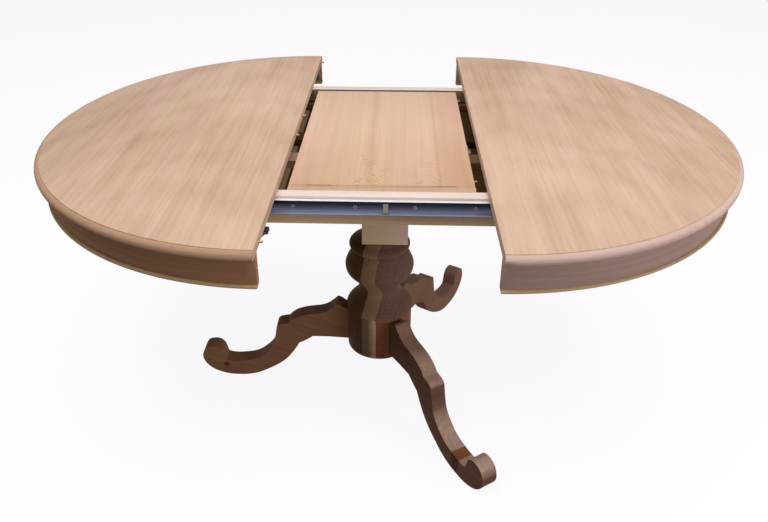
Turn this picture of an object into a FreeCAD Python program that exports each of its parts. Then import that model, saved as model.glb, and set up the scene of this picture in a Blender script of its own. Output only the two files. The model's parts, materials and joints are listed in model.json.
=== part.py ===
"""Round extending pedestal table with a folded leaf stored under the top, in millimetres.

Two half discs run apart on ball slides over a fixed inner frame, and the folded leaf lies
on ledges between the rails of that frame. The frame stands on a turned column with three
scroll legs. The origin is on the floor under the middle of the gap; X is the way the halves
slide, Y is the way the boards run, and Z is up.

Every size below is a cell of the sheet Dims, and the pieces are bound to those cells.
"""

import FreeCAD, Part
import math
import os
import re

import Sketcher

Vector = FreeCAD.Vector

SIZES = {
    # Top.
    "table_height": 785.0,
    "top_radius": 600.0,
    "gap_width": 431.0,
    "board_thick": 20.0,
    "lipping_width": 11.0,
    "quirk_depth": 1.6,
    "quirk_width": 1.6,
    "crown_in": 2.6,
    "crown_drop": 5.2,
    "nose_drop": 11.5,
    "throat_in": 1.4,
    "throat_drop": 17.0,
    "lipping_flat": 5.0,
    # Apron and the bead under it.
    "apron_radius": 580.0,
    "apron_thick": 18.0,
    "apron_high": 765.0,
    "apron_low": 706.0,
    "bead_radius": 586.0,
    "bead_high": 6.0,
    # Alignment dowels of the cut edges.
    "dowel_radius": 2.5,
    "dowel_set": 18.0,
    "dowel_out": 9.0,
    "hole_slack": 0.3,
    "hole_spare": 2.0,
    "cut_spare": 1.0,
    "peg_radius": 2.5,
    "peg_ring": 571.0,
    "peg_high": 736.0,
    "peg_set": 14.0,
    "peg_out": 1.5,
    # Fixed frame.
    "rail_inner": 319.0,
    "rail_outer": 347.0,
    "rail_reach": 430.0,
    "rail_low": 701.0,
    "rail_top": 764.5,
    "floor_thick": 6.0,
    "ledge_width": 20.0,
    "ledge_top": 726.0,
    "ledge_seat": 43.0,
    "guard_width": 29.5,
    "guard_top": 761.5,
    "bearer_top": 725.0,
    "bearer_width": 40.0,
    "beam_inner": 40.0,
    "beam_outer": 90.0,
    # Slides: fixed channel, cage of balls, moving member.
    "slide_reach": 420.0,
    "slide_mid": 742.75,
    "channel_high": 34.5,
    "channel_deep": 11.4,
    "sheet_metal": 1.5,
    "member_length": 398.0,
    "member_high": 21.1,
    "member_in": 6.0,
    "member_face": 359.0,
    "member_back": 22.0,
    "cage_length": 180.0,
    "cage_start": 22.5,
    "cage_web": 4.6,
    "cage_deep": 6.6,
    "cage_metal": 0.8,
    "cage_travel": 13.15,
    "ball_radius": 2.4,
    "ball_in": 8.6,
    "ball_slack": 0.1,
    "ball_pitch": 20.0,
    "ball_count": 9.0,
    "stop_middle": 8.0,
    "stop_width": 10.0,
    "stop_high": 19.0,
    "stop_inset": 1.0,
    "screw_shank": 1.8,
    "screw_bite": 18.0,
    "screw_head": 3.6,
    "head_thick": 1.6,
    # Runners and battens of the halves.
    "runner_thick": 30.0,
    "runner_length": 372.0,
    "runner_low": 725.0,
    "batten_near": 444.5,
    "batten_far": 504.5,
    "batten_reach": 240.0,
    "batten_low": 735.0,
    # Top locks.
    "lock_row": 490.5,
    "lock_pivot": 13.0,
    "lock_plate": 4.0,
    "plate_width": 30.0,
    "body_length": 26.0,
    "body_near": 11.0,
    "keeper_length": 24.0,
    "keeper_near": 6.0,
    "lever_low": 751.0,
    "lever_thick": 6.0,
    "lever_width": 13.0,
    "lever_length": 34.5,
    "lever_knob": 4.0,
    "knob_drop": 6.0,
    "lock_pin": 3.0,
    "lock_pin_head": 5.5,
    "pin_head_thick": 2.7,
    "pin_head_drop": 3.0,
    "pin_slack": 0.06,
    "post_reach": 8.0,
    "notch_width": 8.6,
    "notch_bottom": 4.0,
    "lock_swing": 64.0,
    # Folded leaf.
    "leaf_left": 198.0,
    "leaf_right": 194.0,
    "leaf_front": 288.5,
    "leaf_back": 311.5,
    "leaf_thick": 18.0,
    "leaf_split": 0.4,
    "fold_level": 744.2,
    "leaf_dowel_near": 40.5,
    "leaf_dowel_far": 550.5,
    "leaf_dowel_out": 8.0,
    "hinge_shift": 131.0,
    "hinge_middle": -3.0,
    "hinge_half": 25.0,
    "knuckle_split": 9.0,
    "knuckle_play": 0.2,
    "hinge_plate": 1.4,
    "hinge_depth": 28.0,
    "knuckle_radius": 3.0,
    "knuckle_gap": 0.6,
    "hinge_pin": 1.5,
    "latch_row": 80.0,
    "latch_width": 24.0,
    "latch_reach": 9.0,
    "latch_metal": 2.0,
    "latch_low": 748.4,
    "latch_high": 761.4,
    # Pedestal.
    "column_shift": 13.0,
    "block_shift": 1.9,
    "block_width": 118.4,
    "block_low": 477.0,
    "board_low": 681.0,
    "board_half": 130.0,
    "rod_radius": 5.0,
    "rod_low": 112.0,
    "rod_top": 720.0,
    "nut_thick": 8.0,
    "nut_radius": 9.0,
    "washer_radius": 14.0,
    "washer_thick": 2.0,
    "drum_top": 257.0,
    "drum_low": 126.0,
    "drum_radius": 88.7,
    # Legs.
    "leg_thick": 42.0,
    "leg_root": 80.0,
    "leg_root_deep": 20.0,
    "leg_root_low": 142.0,
    "leg_root_high": 243.0,
    "leg_dowel_radius": 5.0,
    "leg_dowel_length": 50.0,
    "leg_dowel_low": 168.0,
    "leg_dowel_high": 216.0,
}

# Turned outlines, as distance from the axis and height above the floor.
BEAD_CURVE = ((22, 502), (43, 485), (63.5, 467), (78, 456.5), (81.3, 448.5), (76.5, 440.5), (67, 437))
BALL_CURVE = ((67, 437), (74.5, 429), (81.5, 416), (88, 403), (92.5, 387), (88.5, 368), (73, 350))
NECK_CURVE = ((73, 350), (60, 332), (54.3, 317), (57, 304), (67, 290), (80, 275.5), (88.5, 264.5), (91, 257))
DRUM_CURVE = ((91, 257), (90, 247), (88.7, 236))

# One leg seen from the side, as distance from the column's axis and height above the floor.
LEG_EAR = ((80, 243), (92, 244), (99.5, 249), (109.5, 256), (118.5, 257.5))
LEG_SHOULDER = ((118.5, 257.5), (125.5, 250), (132, 244), (152, 230.5), (180.5, 224), (213, 218),
                (233.5, 210), (255.5, 191))
LEG_KNEE = ((255.5, 191), (272, 187), (281, 184.5), (287, 180.5), (291, 174))
LEG_SHIN = ((291, 174), (294.5, 152), (299.5, 128), (305.5, 108), (315.5, 93), (327, 81), (340, 70),
            (354, 61), (370.5, 55), (390.5, 51.5), (419, 49), (444.5, 54))
LEG_TOE = ((444.5, 54), (449.5, 72), (456.5, 90), (469, 99), (485, 100), (499.5, 94.5), (507.5, 84),
           (512, 70), (511.5, 56), (503.5, 38), (486, 20), (460, 7), (439.5, 1.8), (419, 0))
LEG_ARCH = ((399, 0), (385.5, 1), (371.5, 3.5), (348, 11), (320.5, 25), (295.5, 40), (269, 62), (249.5, 86),
            (228.5, 121))
LEG_UNDER = ((228.5, 121), (210, 131), (188.5, 146))
LEG_HEEL = ("142", "146")

LEG_TURNS = {"left_leg": 180, "front_leg": -58, "back_leg": 60}
DOWEL_ROWS = (-545, -48, 83, 551)
LEG_DOWEL_CENTRES = (("0", "leg_dowel_low"), ("0", "leg_dowel_high"))
HINGE_MIDDLES = ("hinge_middle - hinge_shift", "hinge_middle + hinge_shift")
SLIDE_SCREWS = (-182, -54, 68, 191)
MEMBER_SCREWS = (60, 160, 260, 360)
SIDES = {"left": -1, "right": 1}
ENDS = {"front": -1, "back": 1}

doc = FreeCAD.newDocument("extending_table")
sheet = doc.addObject("Spreadsheet::Sheet", "Dims")
for row, (alias, value) in enumerate(SIZES.items(), start=1):
    sheet.set(f"A{row}", alias)
    sheet.set(f"B{row}", str(value))
    sheet.setAlias(f"B{row}", alias)
doc.recompute()

pieces = []


# ---------------------------------------------------------------- helpers

def bound(text):
    """The expression with the sheet's name in front of every size that it uses."""
    def with_sheet(word):
        return f"Dims.{word[0]}" if word[0] in SIZES else word[0]
    return re.sub(r"[a-z]+(?:_[a-z]+)*", with_sheet, text)


def size(text):
    """The value of an expression over the sheet."""
    return float(sheet.evalExpression(bound(text)))


def new_body(label, whole_piece=True):
    """An empty body; its name is the node's name, unless it is only a part of a piece."""
    body = doc.addObject("PartDesign::Body", label)
    body.Label = label
    if whole_piece:
        pieces.append(body)
    return body


def new_group(label, shapes, x="0", y="0", z="0"):
    """Identical fasteners, or hardware bent from one strip, as one object of separate solids."""
    group = doc.addObject("Part::Feature", label)
    group.Label = label
    group.Shape = Part.makeCompound(shapes)
    settle(group, x, y, z)
    pieces.append(group)
    return group


def settle(piece, x="0", y="0", z="0", turn=0.0):
    """Put a piece in its place, turned about the vertical."""
    piece.Placement = FreeCAD.Placement(Vector(), FreeCAD.Rotation(Vector(0, 0, 1), turn))
    for axis, text in (("x", x), ("y", y), ("z", z)):
        piece.setExpression(f"Placement.Base.{axis}", bound(text))


def new_sketch(body, role, offset="0"):
    """A sketch on one of the body's own origin planes, moved along the plane's normal."""
    sketch = body.newObject("Sketcher::SketchObject", f"{body.Name}_sketch")
    plane = next(item for item in body.Origin.OriginFeatures if item.Role == role)
    sketch.AttachmentSupport = [(plane, "")]
    sketch.MapMode = "FlatFace"
    sketch.setExpression("AttachmentOffset.Base.z", bound(offset))
    return sketch


def pin_down(sketch, shape, end, point):
    """Tie one point of a sketch's shape to the sheet, across and up."""
    for kind, axis, text in (("DistanceX", -2, point[0]), ("DistanceY", -1, point[1])):
        value = size(text)
        if abs(value) < 1e-9:
            sketch.addConstraint(Sketcher.Constraint("PointOnObject", shape, end, axis))
        else:
            index = sketch.addConstraint(Sketcher.Constraint(kind, -1, 1, shape, end, value))
            sketch.setExpression(f"Constraints[{index}]", bound(text))


def flat_point(point):
    """A sketch point from a pair of expressions or plain numbers."""
    return Vector(size(str(point[0])), size(str(point[1])), 0)


def add_outline(sketch, steps):
    """A closed outline from steps that each start where the one before ends.

    ("line", start), ("arc", start, middle) or ("curve", points), where the points are
    pairs of expressions, or of numbers in a curve. A curve is held where it is drawn, and
    the corners between lines and arcs are tied to the sheet.
    """
    starts = [step[1][0] if step[0] == "curve" else step[1] for step in steps]
    count = len(steps)
    for index, step in enumerate(steps):
        start = flat_point(starts[index])
        end = flat_point(starts[(index + 1) % count])
        if step[0] == "line":
            sketch.addGeometry(Part.LineSegment(start, end))
        elif step[0] == "arc":
            sketch.addGeometry(Part.Arc(start, flat_point(step[2]), end))
        else:
            curve = Part.BSplineCurve()
            curve.interpolate([flat_point(point) for point in step[1]])
            sketch.addGeometry(curve)
            sketch.addConstraint(Sketcher.Constraint("Block", index))
    for index, step in enumerate(steps):
        after = (index + 1) % count
        if step[0] == "curve" and steps[after][0] == "curve":
            continue
        start_end = arc_ends(sketch, index)[1]
        next_start = arc_ends(sketch, after)[0]
        sketch.addConstraint(Sketcher.Constraint("Coincident", index, start_end, after, next_start))
    for index, step in enumerate(steps):
        if step[0] != "curve" and steps[index - 1][0] != "curve":
            pin_down(sketch, index, arc_ends(sketch, index)[0], starts[index])


def arc_ends(sketch, index):
    """Which ends of a shape are its first and last point on the way round the outline."""
    shape = sketch.Geometry[index]
    turned_over = isinstance(shape, Part.ArcOfCircle) and shape.Circle.Axis.z < 0
    return (2, 1) if turned_over else (1, 2)


def polygon(points):
    """The steps of an outline of straight runs."""
    return [("line", point) for point in points]


def curve(points):
    return ("curve", points)


def add_pad(body, sketch, length, both_ways=False, reverse=False):
    feature = body.newObject("PartDesign::Pad", f"{body.Name}_pad")
    feature.Profile = sketch
    feature.setExpression("Length", bound(length))
    feature.SideType = "Symmetric" if both_ways else "One side"
    feature.Reversed = reverse
    return feature


def add_pocket(body, sketch, length):
    """A pocket that runs half of its length either way from its sketch."""
    feature = body.newObject("PartDesign::Pocket", f"{body.Name}_pocket")
    feature.Profile = sketch
    feature.setExpression("Length", bound(length))
    feature.SideType = "Symmetric"
    return feature


def add_turning(body, sketch, kind="Revolution", angle=360.0):
    """Turn a sketch about its own upright axis."""
    feature = body.newObject(f"PartDesign::{kind}", f"{body.Name}_turning")
    feature.Profile = sketch
    feature.ReferenceAxis = (sketch, ["V_Axis"])
    feature.Angle = angle
    return feature


def add_circles(sketch, centres, radius):
    for index, centre in enumerate(centres):
        sketch.addGeometry(Part.Circle(flat_point(centre), Vector(0, 0, 1), size(radius)))
        pin_down(sketch, index, 3, centre)
        ring = sketch.addConstraint(Sketcher.Constraint("Radius", index, size(radius)))
        sketch.setExpression(f"Constraints[{ring}]", bound(radius))


def drill(body, role, offset, centres, radius, depth):
    """Round holes of one size, drilled from the plane at the offset; the other half is air."""
    sketch = new_sketch(body, role, offset)
    add_circles(sketch, centres, radius)
    return add_pocket(body, sketch, f"2 * ({depth})")


def add_round_pad(body, level, centre, radius, length):
    """A round boss that stands up from a level."""
    sketch = new_sketch(body, "XY_Plane", level)
    add_circles(sketch, [centre], radius)
    return add_pad(body, sketch, length)


def rectangle(x, y):
    """The corners of a rectangle between two values across and two values up."""
    return ((x[0], y[0]), (x[1], y[0]), (x[1], y[1]), (x[0], y[1]))


def new_board(label, x, y, z, whole_piece=True):
    """A plain board between two X, two Y and two Z values."""
    body = new_body(label, whole_piece)
    sketch = new_sketch(body, "XY_Plane", z[0])
    add_outline(sketch, polygon(rectangle(x, y)))
    add_pad(body, sketch, f"{z[1]} - ({z[0]})")
    return body


def new_assembly(label, parts):
    """Several bodies that are made and fitted as one piece."""
    piece = doc.addObject("Part::Compound", label)
    piece.Label = label
    piece.Links = parts
    pieces.append(piece)
    return piece


def cut_away(body, x, y, z):
    """Take a block out of a body, between two X, two Y and two Z values."""
    sketch = new_sketch(body, "XY_Plane", f"({z[0]} + {z[1]}) / 2")
    add_outline(sketch, polygon(rectangle(x, y)))
    return add_pocket(body, sketch, f"{z[1]} - ({z[0]})")


def cylinder(radius, length, base, direction):
    return Part.makeCylinder(radius, length, Vector(*base), Vector(*direction))


# ---------------------------------------------------------------- the two halves

def half_place(body, side):
    """Move a piece drawn with its cut edge on the Y axis out to its half of the table."""
    settle(body, x=f"{side} * gap_width / 2", turn=0 if side < 0 else 180)


def make_top_board(name, side):
    body = new_body(f"{name}_top_board")
    sketch = new_sketch(body, "XY_Plane", "table_height - board_thick")
    radius = "(top_radius - lipping_width)"
    add_outline(sketch, [("arc", ("0", radius), (f"-{radius}", "0")), ("line", ("0", f"-{radius}"))])
    add_pad(body, sketch, "board_thick")
    centres = [(str(-side * row), "table_height - board_thick / 2") for row in DOWEL_ROWS]
    if side < 0:
        drill(body, "YZ_Plane", "0", centres, "dowel_radius", "dowel_set")
    else:
        drill(body, "YZ_Plane", "0", centres, "dowel_radius + hole_slack", "dowel_out + hole_spare")
    half_place(body, side)


def half_ring(label, side, steps):
    """A section swept round half a turn, from the back of the cut edge to its front."""
    body = new_body(label)
    sketch = new_sketch(body, "YZ_Plane")
    add_outline(sketch, steps)
    add_turning(body, sketch, angle=180.0)
    half_place(body, side)
    return body


def make_lipping(name, side):
    """Moulded edge: a small quirk beside the veneer, then a thumb moulding to the underside."""
    inner = "top_radius - lipping_width"
    low = "table_height - board_thick"
    quirk = "table_height - quirk_depth"
    crown = ("top_radius - crown_in", "table_height - crown_drop")
    nose = ("top_radius", "table_height - nose_drop")
    throat = ("top_radius - throat_in", "table_height - throat_drop")
    half_ring(f"{name}_edge_lipping", side, [
        ("line", (inner, low)),
        ("line", (inner, quirk)),
        ("arc", (f"{inner} + quirk_width", quirk), crown),
        ("arc", nose, throat),
        ("line", (f"{inner} + lipping_flat", low)),
    ])


def make_apron(name, side):
    inner = "apron_radius - apron_thick"
    body = half_ring(f"{name}_apron", side, polygon((
        (inner, "apron_low"), ("apron_radius", "apron_low"),
        ("apron_radius", "apron_high"), (inner, "apron_high"))))
    centres = [(f"{sign} * peg_ring", "peg_high") for sign in (-1, 1)]
    if side < 0:
        drill(body, "YZ_Plane", "0", centres, "peg_radius", "peg_set")
    else:
        drill(body, "YZ_Plane", "0", centres, "peg_radius + hole_slack", "peg_out + hole_spare")


def make_bead(name, side):
    inner = "apron_radius - apron_thick"
    low = "apron_low - bead_high"
    nose = "bead_radius - bead_high / 2"
    half_ring(f"{name}_apron_bead", side, [
        ("line", (inner, low)),
        ("arc", (nose, low), ("bead_radius", "apron_low - bead_high / 2")),
        ("line", (nose, "apron_low")),
        ("line", (inner, "apron_low")),
    ])


def along(side, text):
    """A place along X, measured outward from a half's cut edge."""
    return f"{side} * (gap_width / 2 + {text})"


def make_battens(name, side):
    for end_name, end in ENDS.items():
        body = new_board(f"{name}_{end_name}_runner",
                         (along(side, "member_back"), along(side, "member_back + runner_length")),
                         (f"{end} * member_face", f"{end} * (member_face + runner_thick)"),
                         ("runner_low", "table_height - board_thick"))
        centres = [(along(side, str(place)), "slide_mid") for place in MEMBER_SCREWS]
        drill(body, "XZ_Plane", f"{-end} * member_face", centres, "screw_shank", "screw_bite")
    new_board(f"{name}_cross_batten",
              (along(side, "batten_near"), along(side, "batten_far")),
              ("-batten_reach", "batten_reach"),
              ("batten_low", "table_height - board_thick"))


def make_cut_edge_dowels():
    """The left half's dowels, with the two smaller pegs in the ends of its apron."""
    cut = -size("gap_width / 2")
    shapes = []
    for row in DOWEL_ROWS:
        base = (cut - size("dowel_set"), row, size("table_height - board_thick / 2"))
        shapes.append(cylinder(size("dowel_radius"), size("dowel_set + dowel_out"), base, (1, 0, 0)))
    for sign in (-1, 1):
        base = (cut - size("peg_set"), sign * size("peg_ring"), size("peg_high"))
        shapes.append(cylinder(size("peg_radius"), size("peg_set + peg_out"), base, (1, 0, 0)))
    new_group("left_alignment_dowels", shapes)


# ---------------------------------------------------------------- slides

def c_section(end, web, tips, high, metal):
    """A C with its web at one distance from the table's middle and its lips reaching another."""
    into = "1" if size(f"{tips} - ({web})") > 0 else "-1"
    inside = f"({web}) + {into} * {metal}"
    rise = f"({high}) / 2"
    return polygon([(f"{end} * ({y})", f"slide_mid + {sign} * ({z})") for y, sign, z in (
        (web, -1, rise), (tips, -1, rise), (tips, -1, f"{rise} - {metal}"), (inside, -1, f"{rise} - {metal}"),
        (inside, 1, f"{rise} - {metal}"), (tips, 1, f"{rise} - {metal}"), (tips, 1, rise), (web, 1, rise))])


def make_channel(end_name, end):
    """The fixed channel, open towards the outside: a back strip and the two races of the balls."""
    label = f"{end_name}_slide_channel"
    reach = ("-slide_reach", "slide_reach")
    rise = "channel_high / 2"
    back = new_board(f"{label}_back", reach, (f"{end} * rail_outer", f"{end} * (rail_outer + sheet_metal)"),
                     (f"slide_mid - {rise}", f"slide_mid + {rise}"), whole_piece=False)
    centres = [(str(place), "slide_mid") for place in SLIDE_SCREWS]
    drill(back, "XZ_Plane", f"{-end} * rail_outer", centres, "screw_shank", "screw_bite")
    depth = (f"{end} * (rail_outer + sheet_metal)", f"{end} * (rail_outer + channel_deep)")
    low = new_board(f"{label}_low", reach, depth,
                    (f"slide_mid - {rise}", f"slide_mid - {rise} + sheet_metal"), whole_piece=False)
    high = new_board(f"{label}_high", reach, depth,
                     (f"slide_mid + {rise} - sheet_metal", f"slide_mid + {rise}"), whole_piece=False)
    new_assembly(label, [back, low, high])


def make_member(name, side, end_name, end):
    """The moving member, open towards the middle of the table."""
    body = new_body(f"{name}_{end_name}_slide_member")
    sketch = new_sketch(body, "YZ_Plane", along(side, "member_back + member_length / 2"))
    tips = "member_face - member_in"
    add_outline(sketch, c_section(end, "member_face", tips, "member_high", "sheet_metal"))
    add_pad(body, sketch, "member_length", both_ways=True)
    centres = [(along(side, str(place)), "slide_mid") for place in MEMBER_SCREWS]
    drill(body, "XZ_Plane", f"{-end} * member_face", centres, "screw_shank", "screw_bite")


def ball_places(side):
    """X places of the balls in one cage, with the table open."""
    middle = size(f"{side} * (gap_width / 2 + cage_start + cage_length / 2)")
    count = int(size("ball_count"))
    return [middle + (index - (count - 1) / 2) * size("ball_pitch") for index in range(count)]


def make_cage(name, side, end_name, end):
    """A strip bent to a C whose two lips carry the balls in round holes."""
    body = new_body(f"{name}_{end_name}_ball_cage")
    sketch = new_sketch(body, "YZ_Plane", along(side, "cage_start + cage_length / 2"))
    web = "rail_outer + cage_web"
    high = "2 * cage_travel + cage_metal"
    add_outline(sketch, c_section(end, web, f"{web} + cage_deep", high, "cage_metal"))
    add_pad(body, sketch, "cage_length", both_ways=True)
    centres = [(str(place), f"{end} * (rail_outer + ball_in)") for place in ball_places(side)]
    drill(body, "XY_Plane", "slide_mid", centres, "ball_radius + ball_slack", "channel_high")


def make_balls(name, side):
    shapes = []
    for end in ENDS.values():
        for level in (-1, 1):
            height = size(f"slide_mid + {level} * cage_travel")
            for place in ball_places(side):
                centre = Vector(place, end * size("rail_outer + ball_in"), height)
                shapes.append(Part.makeSphere(size("ball_radius"), centre))
    new_group(f"{name}_slide_balls", shapes)


def wood_screw(head_seat, direction):
    """A pan-head screw from the seat of its head; the shank points along the direction."""
    shank = Part.makeCylinder(size("screw_shank"), size("screw_bite"), head_seat, direction)
    head = Part.makeCylinder(size("screw_head"), size("head_thick"), head_seat, direction * -1)
    return shank.fuse(head).removeSplitter()


def make_screws():
    for name, side in SIDES.items():
        shapes = []
        for end in ENDS.values():
            face = end * size("member_face - sheet_metal")
            for place in MEMBER_SCREWS:
                seat = Vector(size(along(side, str(place))), face, size("slide_mid"))
                shapes.append(wood_screw(seat, Vector(0, end, 0)))
        new_group(f"{name}_runner_screws", shapes)
    shapes = []
    for end in ENDS.values():
        for place in SLIDE_SCREWS:
            seat = Vector(place, end * size("rail_outer + sheet_metal"), size("slide_mid"))
            shapes.append(wood_screw(seat, Vector(0, -end, 0)))
    new_group("slide_screws", shapes)


def make_stops():
    """Blocks in the middle of the fixed channels that the members run up to."""
    deep = size("channel_deep - sheet_metal - stop_inset")
    shapes = []
    for end in ENDS.values():
        face = size("rail_outer + sheet_metal")
        corner = Vector(size("stop_middle - stop_width / 2"), end * face if end > 0 else -face - deep,
                        size("slide_mid - stop_high / 2"))
        shapes.append(Part.makeBox(size("stop_width"), deep, size("stop_high"), corner))
    new_group("slide_stops", shapes)


# ---------------------------------------------------------------- locks

def lock_plate(near, length, row):
    """A plate under the top board, from an X value outward along X, centred on a row."""
    low = Vector(near, row - size("plate_width / 2"), size("table_height - board_thick - lock_plate"))
    return Part.makeBox(length, size("plate_width"), size("lock_plate"), low)


def make_lock_bodies():
    """Each is a plate with a shouldered pin that the lever turns on."""
    shapes = []
    near = size("-gap_width / 2 - lock_pivot + body_near - body_length")
    pin_low = size("lever_low - pin_head_drop")
    pin_length = size("table_height - board_thick - lock_plate / 2") - pin_low
    for end in ENDS.values():
        row = end * size("lock_row")
        pivot = Vector(size("-gap_width / 2 - lock_pivot"), row, pin_low)
        pin = Part.makeCylinder(size("lock_pin"), pin_length, pivot)
        head = Part.makeCylinder(size("lock_pin_head"), size("pin_head_thick"), pivot)
        shapes.append(lock_plate(near, size("body_length"), row).fuse([pin, head]).removeSplitter())
    new_group("lock_bodies", shapes)


def make_lock_keepers():
    """Each is a plate with a post that the lever's hook closes round."""
    shapes = []
    near = size("gap_width / 2 + post_reach - keeper_near")
    for end in ENDS.values():
        row = end * size("lock_row")
        foot = Vector(size("gap_width / 2 + post_reach"), row, size("lever_low"))
        post = Part.makeCylinder(size("lock_pin"), size("table_height - board_thick - lever_low"), foot)
        shapes.append(lock_plate(near, size("keeper_length"), row).fuse(post).removeSplitter())
    new_group("lock_keepers", shapes)


def make_lock_lever(end_name, end):
    """A hook with a knob under its tip, drawn shut and then swung back to where it rests open."""
    body = new_body(f"{end_name}_lock_lever")
    half = "lever_width / 2"
    tip = "lever_length - lever_width / 2"
    sketch = new_sketch(body, "XY_Plane", "lever_low")
    add_outline(sketch, [
        ("arc", ("0", half), (f"-{half}", "0")),
        ("line", ("0", f"-{half}")),
        ("arc", (tip, f"-{half}"), ("lever_length", "0")),
        ("line", (tip, half)),
    ])
    add_pad(body, sketch, "lever_thick")
    add_round_pad(body, "lever_low - knob_drop", (tip, "0"), "lever_knob", "knob_drop")
    notch = new_sketch(body, "XY_Plane", "lever_low + lever_thick / 2")
    reach = "lock_pivot + post_reach"
    add_outline(notch, polygon(rectangle(
        (f"{reach} - notch_width / 2", f"{reach} + notch_width / 2"),
        (f"{end} * lever_width", f"{-end} * notch_bottom"))))
    add_pocket(body, notch, "lever_thick")
    drill(body, "XY_Plane", "lever_low", [("0", "0")], "lock_pin + pin_slack", "2 * lever_thick")
    settle(body, x="-gap_width / 2 - lock_pivot", y=f"{end} * lock_row", turn=-end * size("lock_swing"))


# ---------------------------------------------------------------- fixed frame

FLOOR_TOP = "rail_low + floor_thick"
FRAME_LENGTH = ("-rail_reach + bearer_width", "rail_reach - bearer_width")


def make_rails():
    for end_name, end in ENDS.items():
        body = new_board(f"{end_name}_rail", ("-rail_reach", "rail_reach"),
                         (f"{end} * rail_inner", f"{end} * rail_outer"), ("rail_low", "rail_top"))
        centres = [(str(place), "slide_mid") for place in SLIDE_SCREWS]
        drill(body, "XZ_Plane", f"{-end} * rail_outer", centres, "screw_shank", "screw_bite - sheet_metal")


def make_well_floor():
    """The thin board that closes the well from below, drilled for the tie rod."""
    body = new_board("well_floor", ("-rail_reach", "rail_reach"), ("-rail_inner", "rail_inner"),
                     ("rail_low", FLOOR_TOP))
    drill(body, "XY_Plane", "rail_low", [("-column_shift", "0")], "rod_radius", "floor_thick")


def make_ledges():
    """The folded leaf rests on both; the front one also stands up in front of the leaf."""
    new_board("back_leaf_ledge", FRAME_LENGTH, ("rail_inner - ledge_width", "rail_inner"),
              (FLOOR_TOP, "ledge_top"))
    body = new_body("front_leaf_ledge")
    sketch = new_sketch(body, "YZ_Plane")
    seat = "-rail_inner + ledge_seat"
    guard = "-rail_inner + guard_width"
    add_outline(sketch, polygon((
        ("-rail_inner", FLOOR_TOP), (seat, FLOOR_TOP), (seat, "ledge_top"),
        (guard, "ledge_top"), (guard, "guard_top"), ("-rail_inner", "guard_top"))))
    add_pad(body, sketch, "2 * (rail_reach - bearer_width)", both_ways=True)
    for sign, reach in ((-1, "leaf_left"), (1, "leaf_right")):
        cut_away(body, (f"{sign} * {reach}", f"{sign} * rail_reach"),
                 ("-rail_outer", f"{guard} + cut_spare"), ("ledge_top", "guard_top + cut_spare"))
    for middle in HINGE_MIDDLES:
        reach = "hinge_half + knuckle_gap"
        cut_away(body, (f"{middle} - ({reach})", f"{middle} + {reach}"),
                 ("-leaf_front - knuckle_radius - hole_spare", f"{guard} + cut_spare"),
                 ("fold_level - knuckle_radius - hole_spare", "guard_top + cut_spare"))


def make_cross_frame():
    """Bearers across the ends of the well, and two beams along it under the leaf."""
    for name, side in SIDES.items():
        new_board(f"{name}_cross_bearer", (f"{side} * (rail_reach - bearer_width)", f"{side} * rail_reach"),
                  ("-rail_inner", "rail_inner"), (FLOOR_TOP, "bearer_top"))
    beams = []
    for end_name, end in ENDS.items():
        beams.append(new_board(f"{end_name}_centre_beam", FRAME_LENGTH,
                               (f"{end} * beam_inner", f"{end} * beam_outer"),
                               (FLOOR_TOP, "bearer_top"), whole_piece=False))
    new_assembly("centre_beams", beams)


# ---------------------------------------------------------------- folded leaf

def leaf_edge_holes(level):
    """Centres of the dowel holes in a leaf board's long edge."""
    return [(f"{text} - leaf_front", level) for text in ("leaf_dowel_near", "leaf_dowel_far")]


def make_leaf_board(label, low, high, hinge_face, mid_level):
    """A leaf board with its dowel holes, and the hinges let into the face and the front end."""
    body = new_board(label, ("-leaf_left", "leaf_right"), ("-leaf_front", "leaf_back"), (low, high))
    centres = leaf_edge_holes(mid_level)
    drill(body, "YZ_Plane", "-leaf_left", centres, "dowel_radius + hole_slack", "leaf_dowel_out + hole_spare")
    drill(body, "YZ_Plane", "leaf_right", centres, "dowel_radius", "dowel_set")
    for middle in HINGE_MIDDLES:
        for deep, back, half in (("hinge_plate", "hinge_depth", "hinge_half"),
                                 ("knuckle_radius + knuckle_gap", "knuckle_radius + knuckle_gap",
                                  "hinge_half + knuckle_gap")):
            cut_away(body, (f"{middle} - ({half})", f"{middle} + {half}"),
                     ("-leaf_front - cut_spare", f"-leaf_front + {back}"),
                     (f"{hinge_face} - ({deep})", f"{hinge_face} + {deep}"))
    return body


def hinge_leaf(middle, face, sign, spans, bore):
    """One leaf of a butt hinge: a plate let into a board and the knuckles it carries."""
    thick = size("hinge_plate")
    front = -size("leaf_front")
    half = size("hinge_half")
    axis_z = size("fold_level")
    low = face if sign > 0 else face - thick
    near = size("knuckle_radius + knuckle_gap")
    corner = Vector(middle - half, front + near, low)
    shape = Part.makeBox(2 * half, size("hinge_depth") - near, thick, corner)
    for start, stop in spans:
        length = stop - start
        shape = shape.fuse(Part.makeBox(length, near, thick, Vector(middle + start, front, low)))
        knuckle = cylinder(size("knuckle_radius"), length, (middle + start, front, axis_z), (1, 0, 0))
        shape = shape.fuse(knuckle)
    spare = size("cut_spare")
    hole = cylinder(bore, 2 * (half + spare), (middle - half - spare, front, axis_z), (1, 0, 0))
    shape = shape.cut(hole)
    return shape.removeSplitter()


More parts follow.
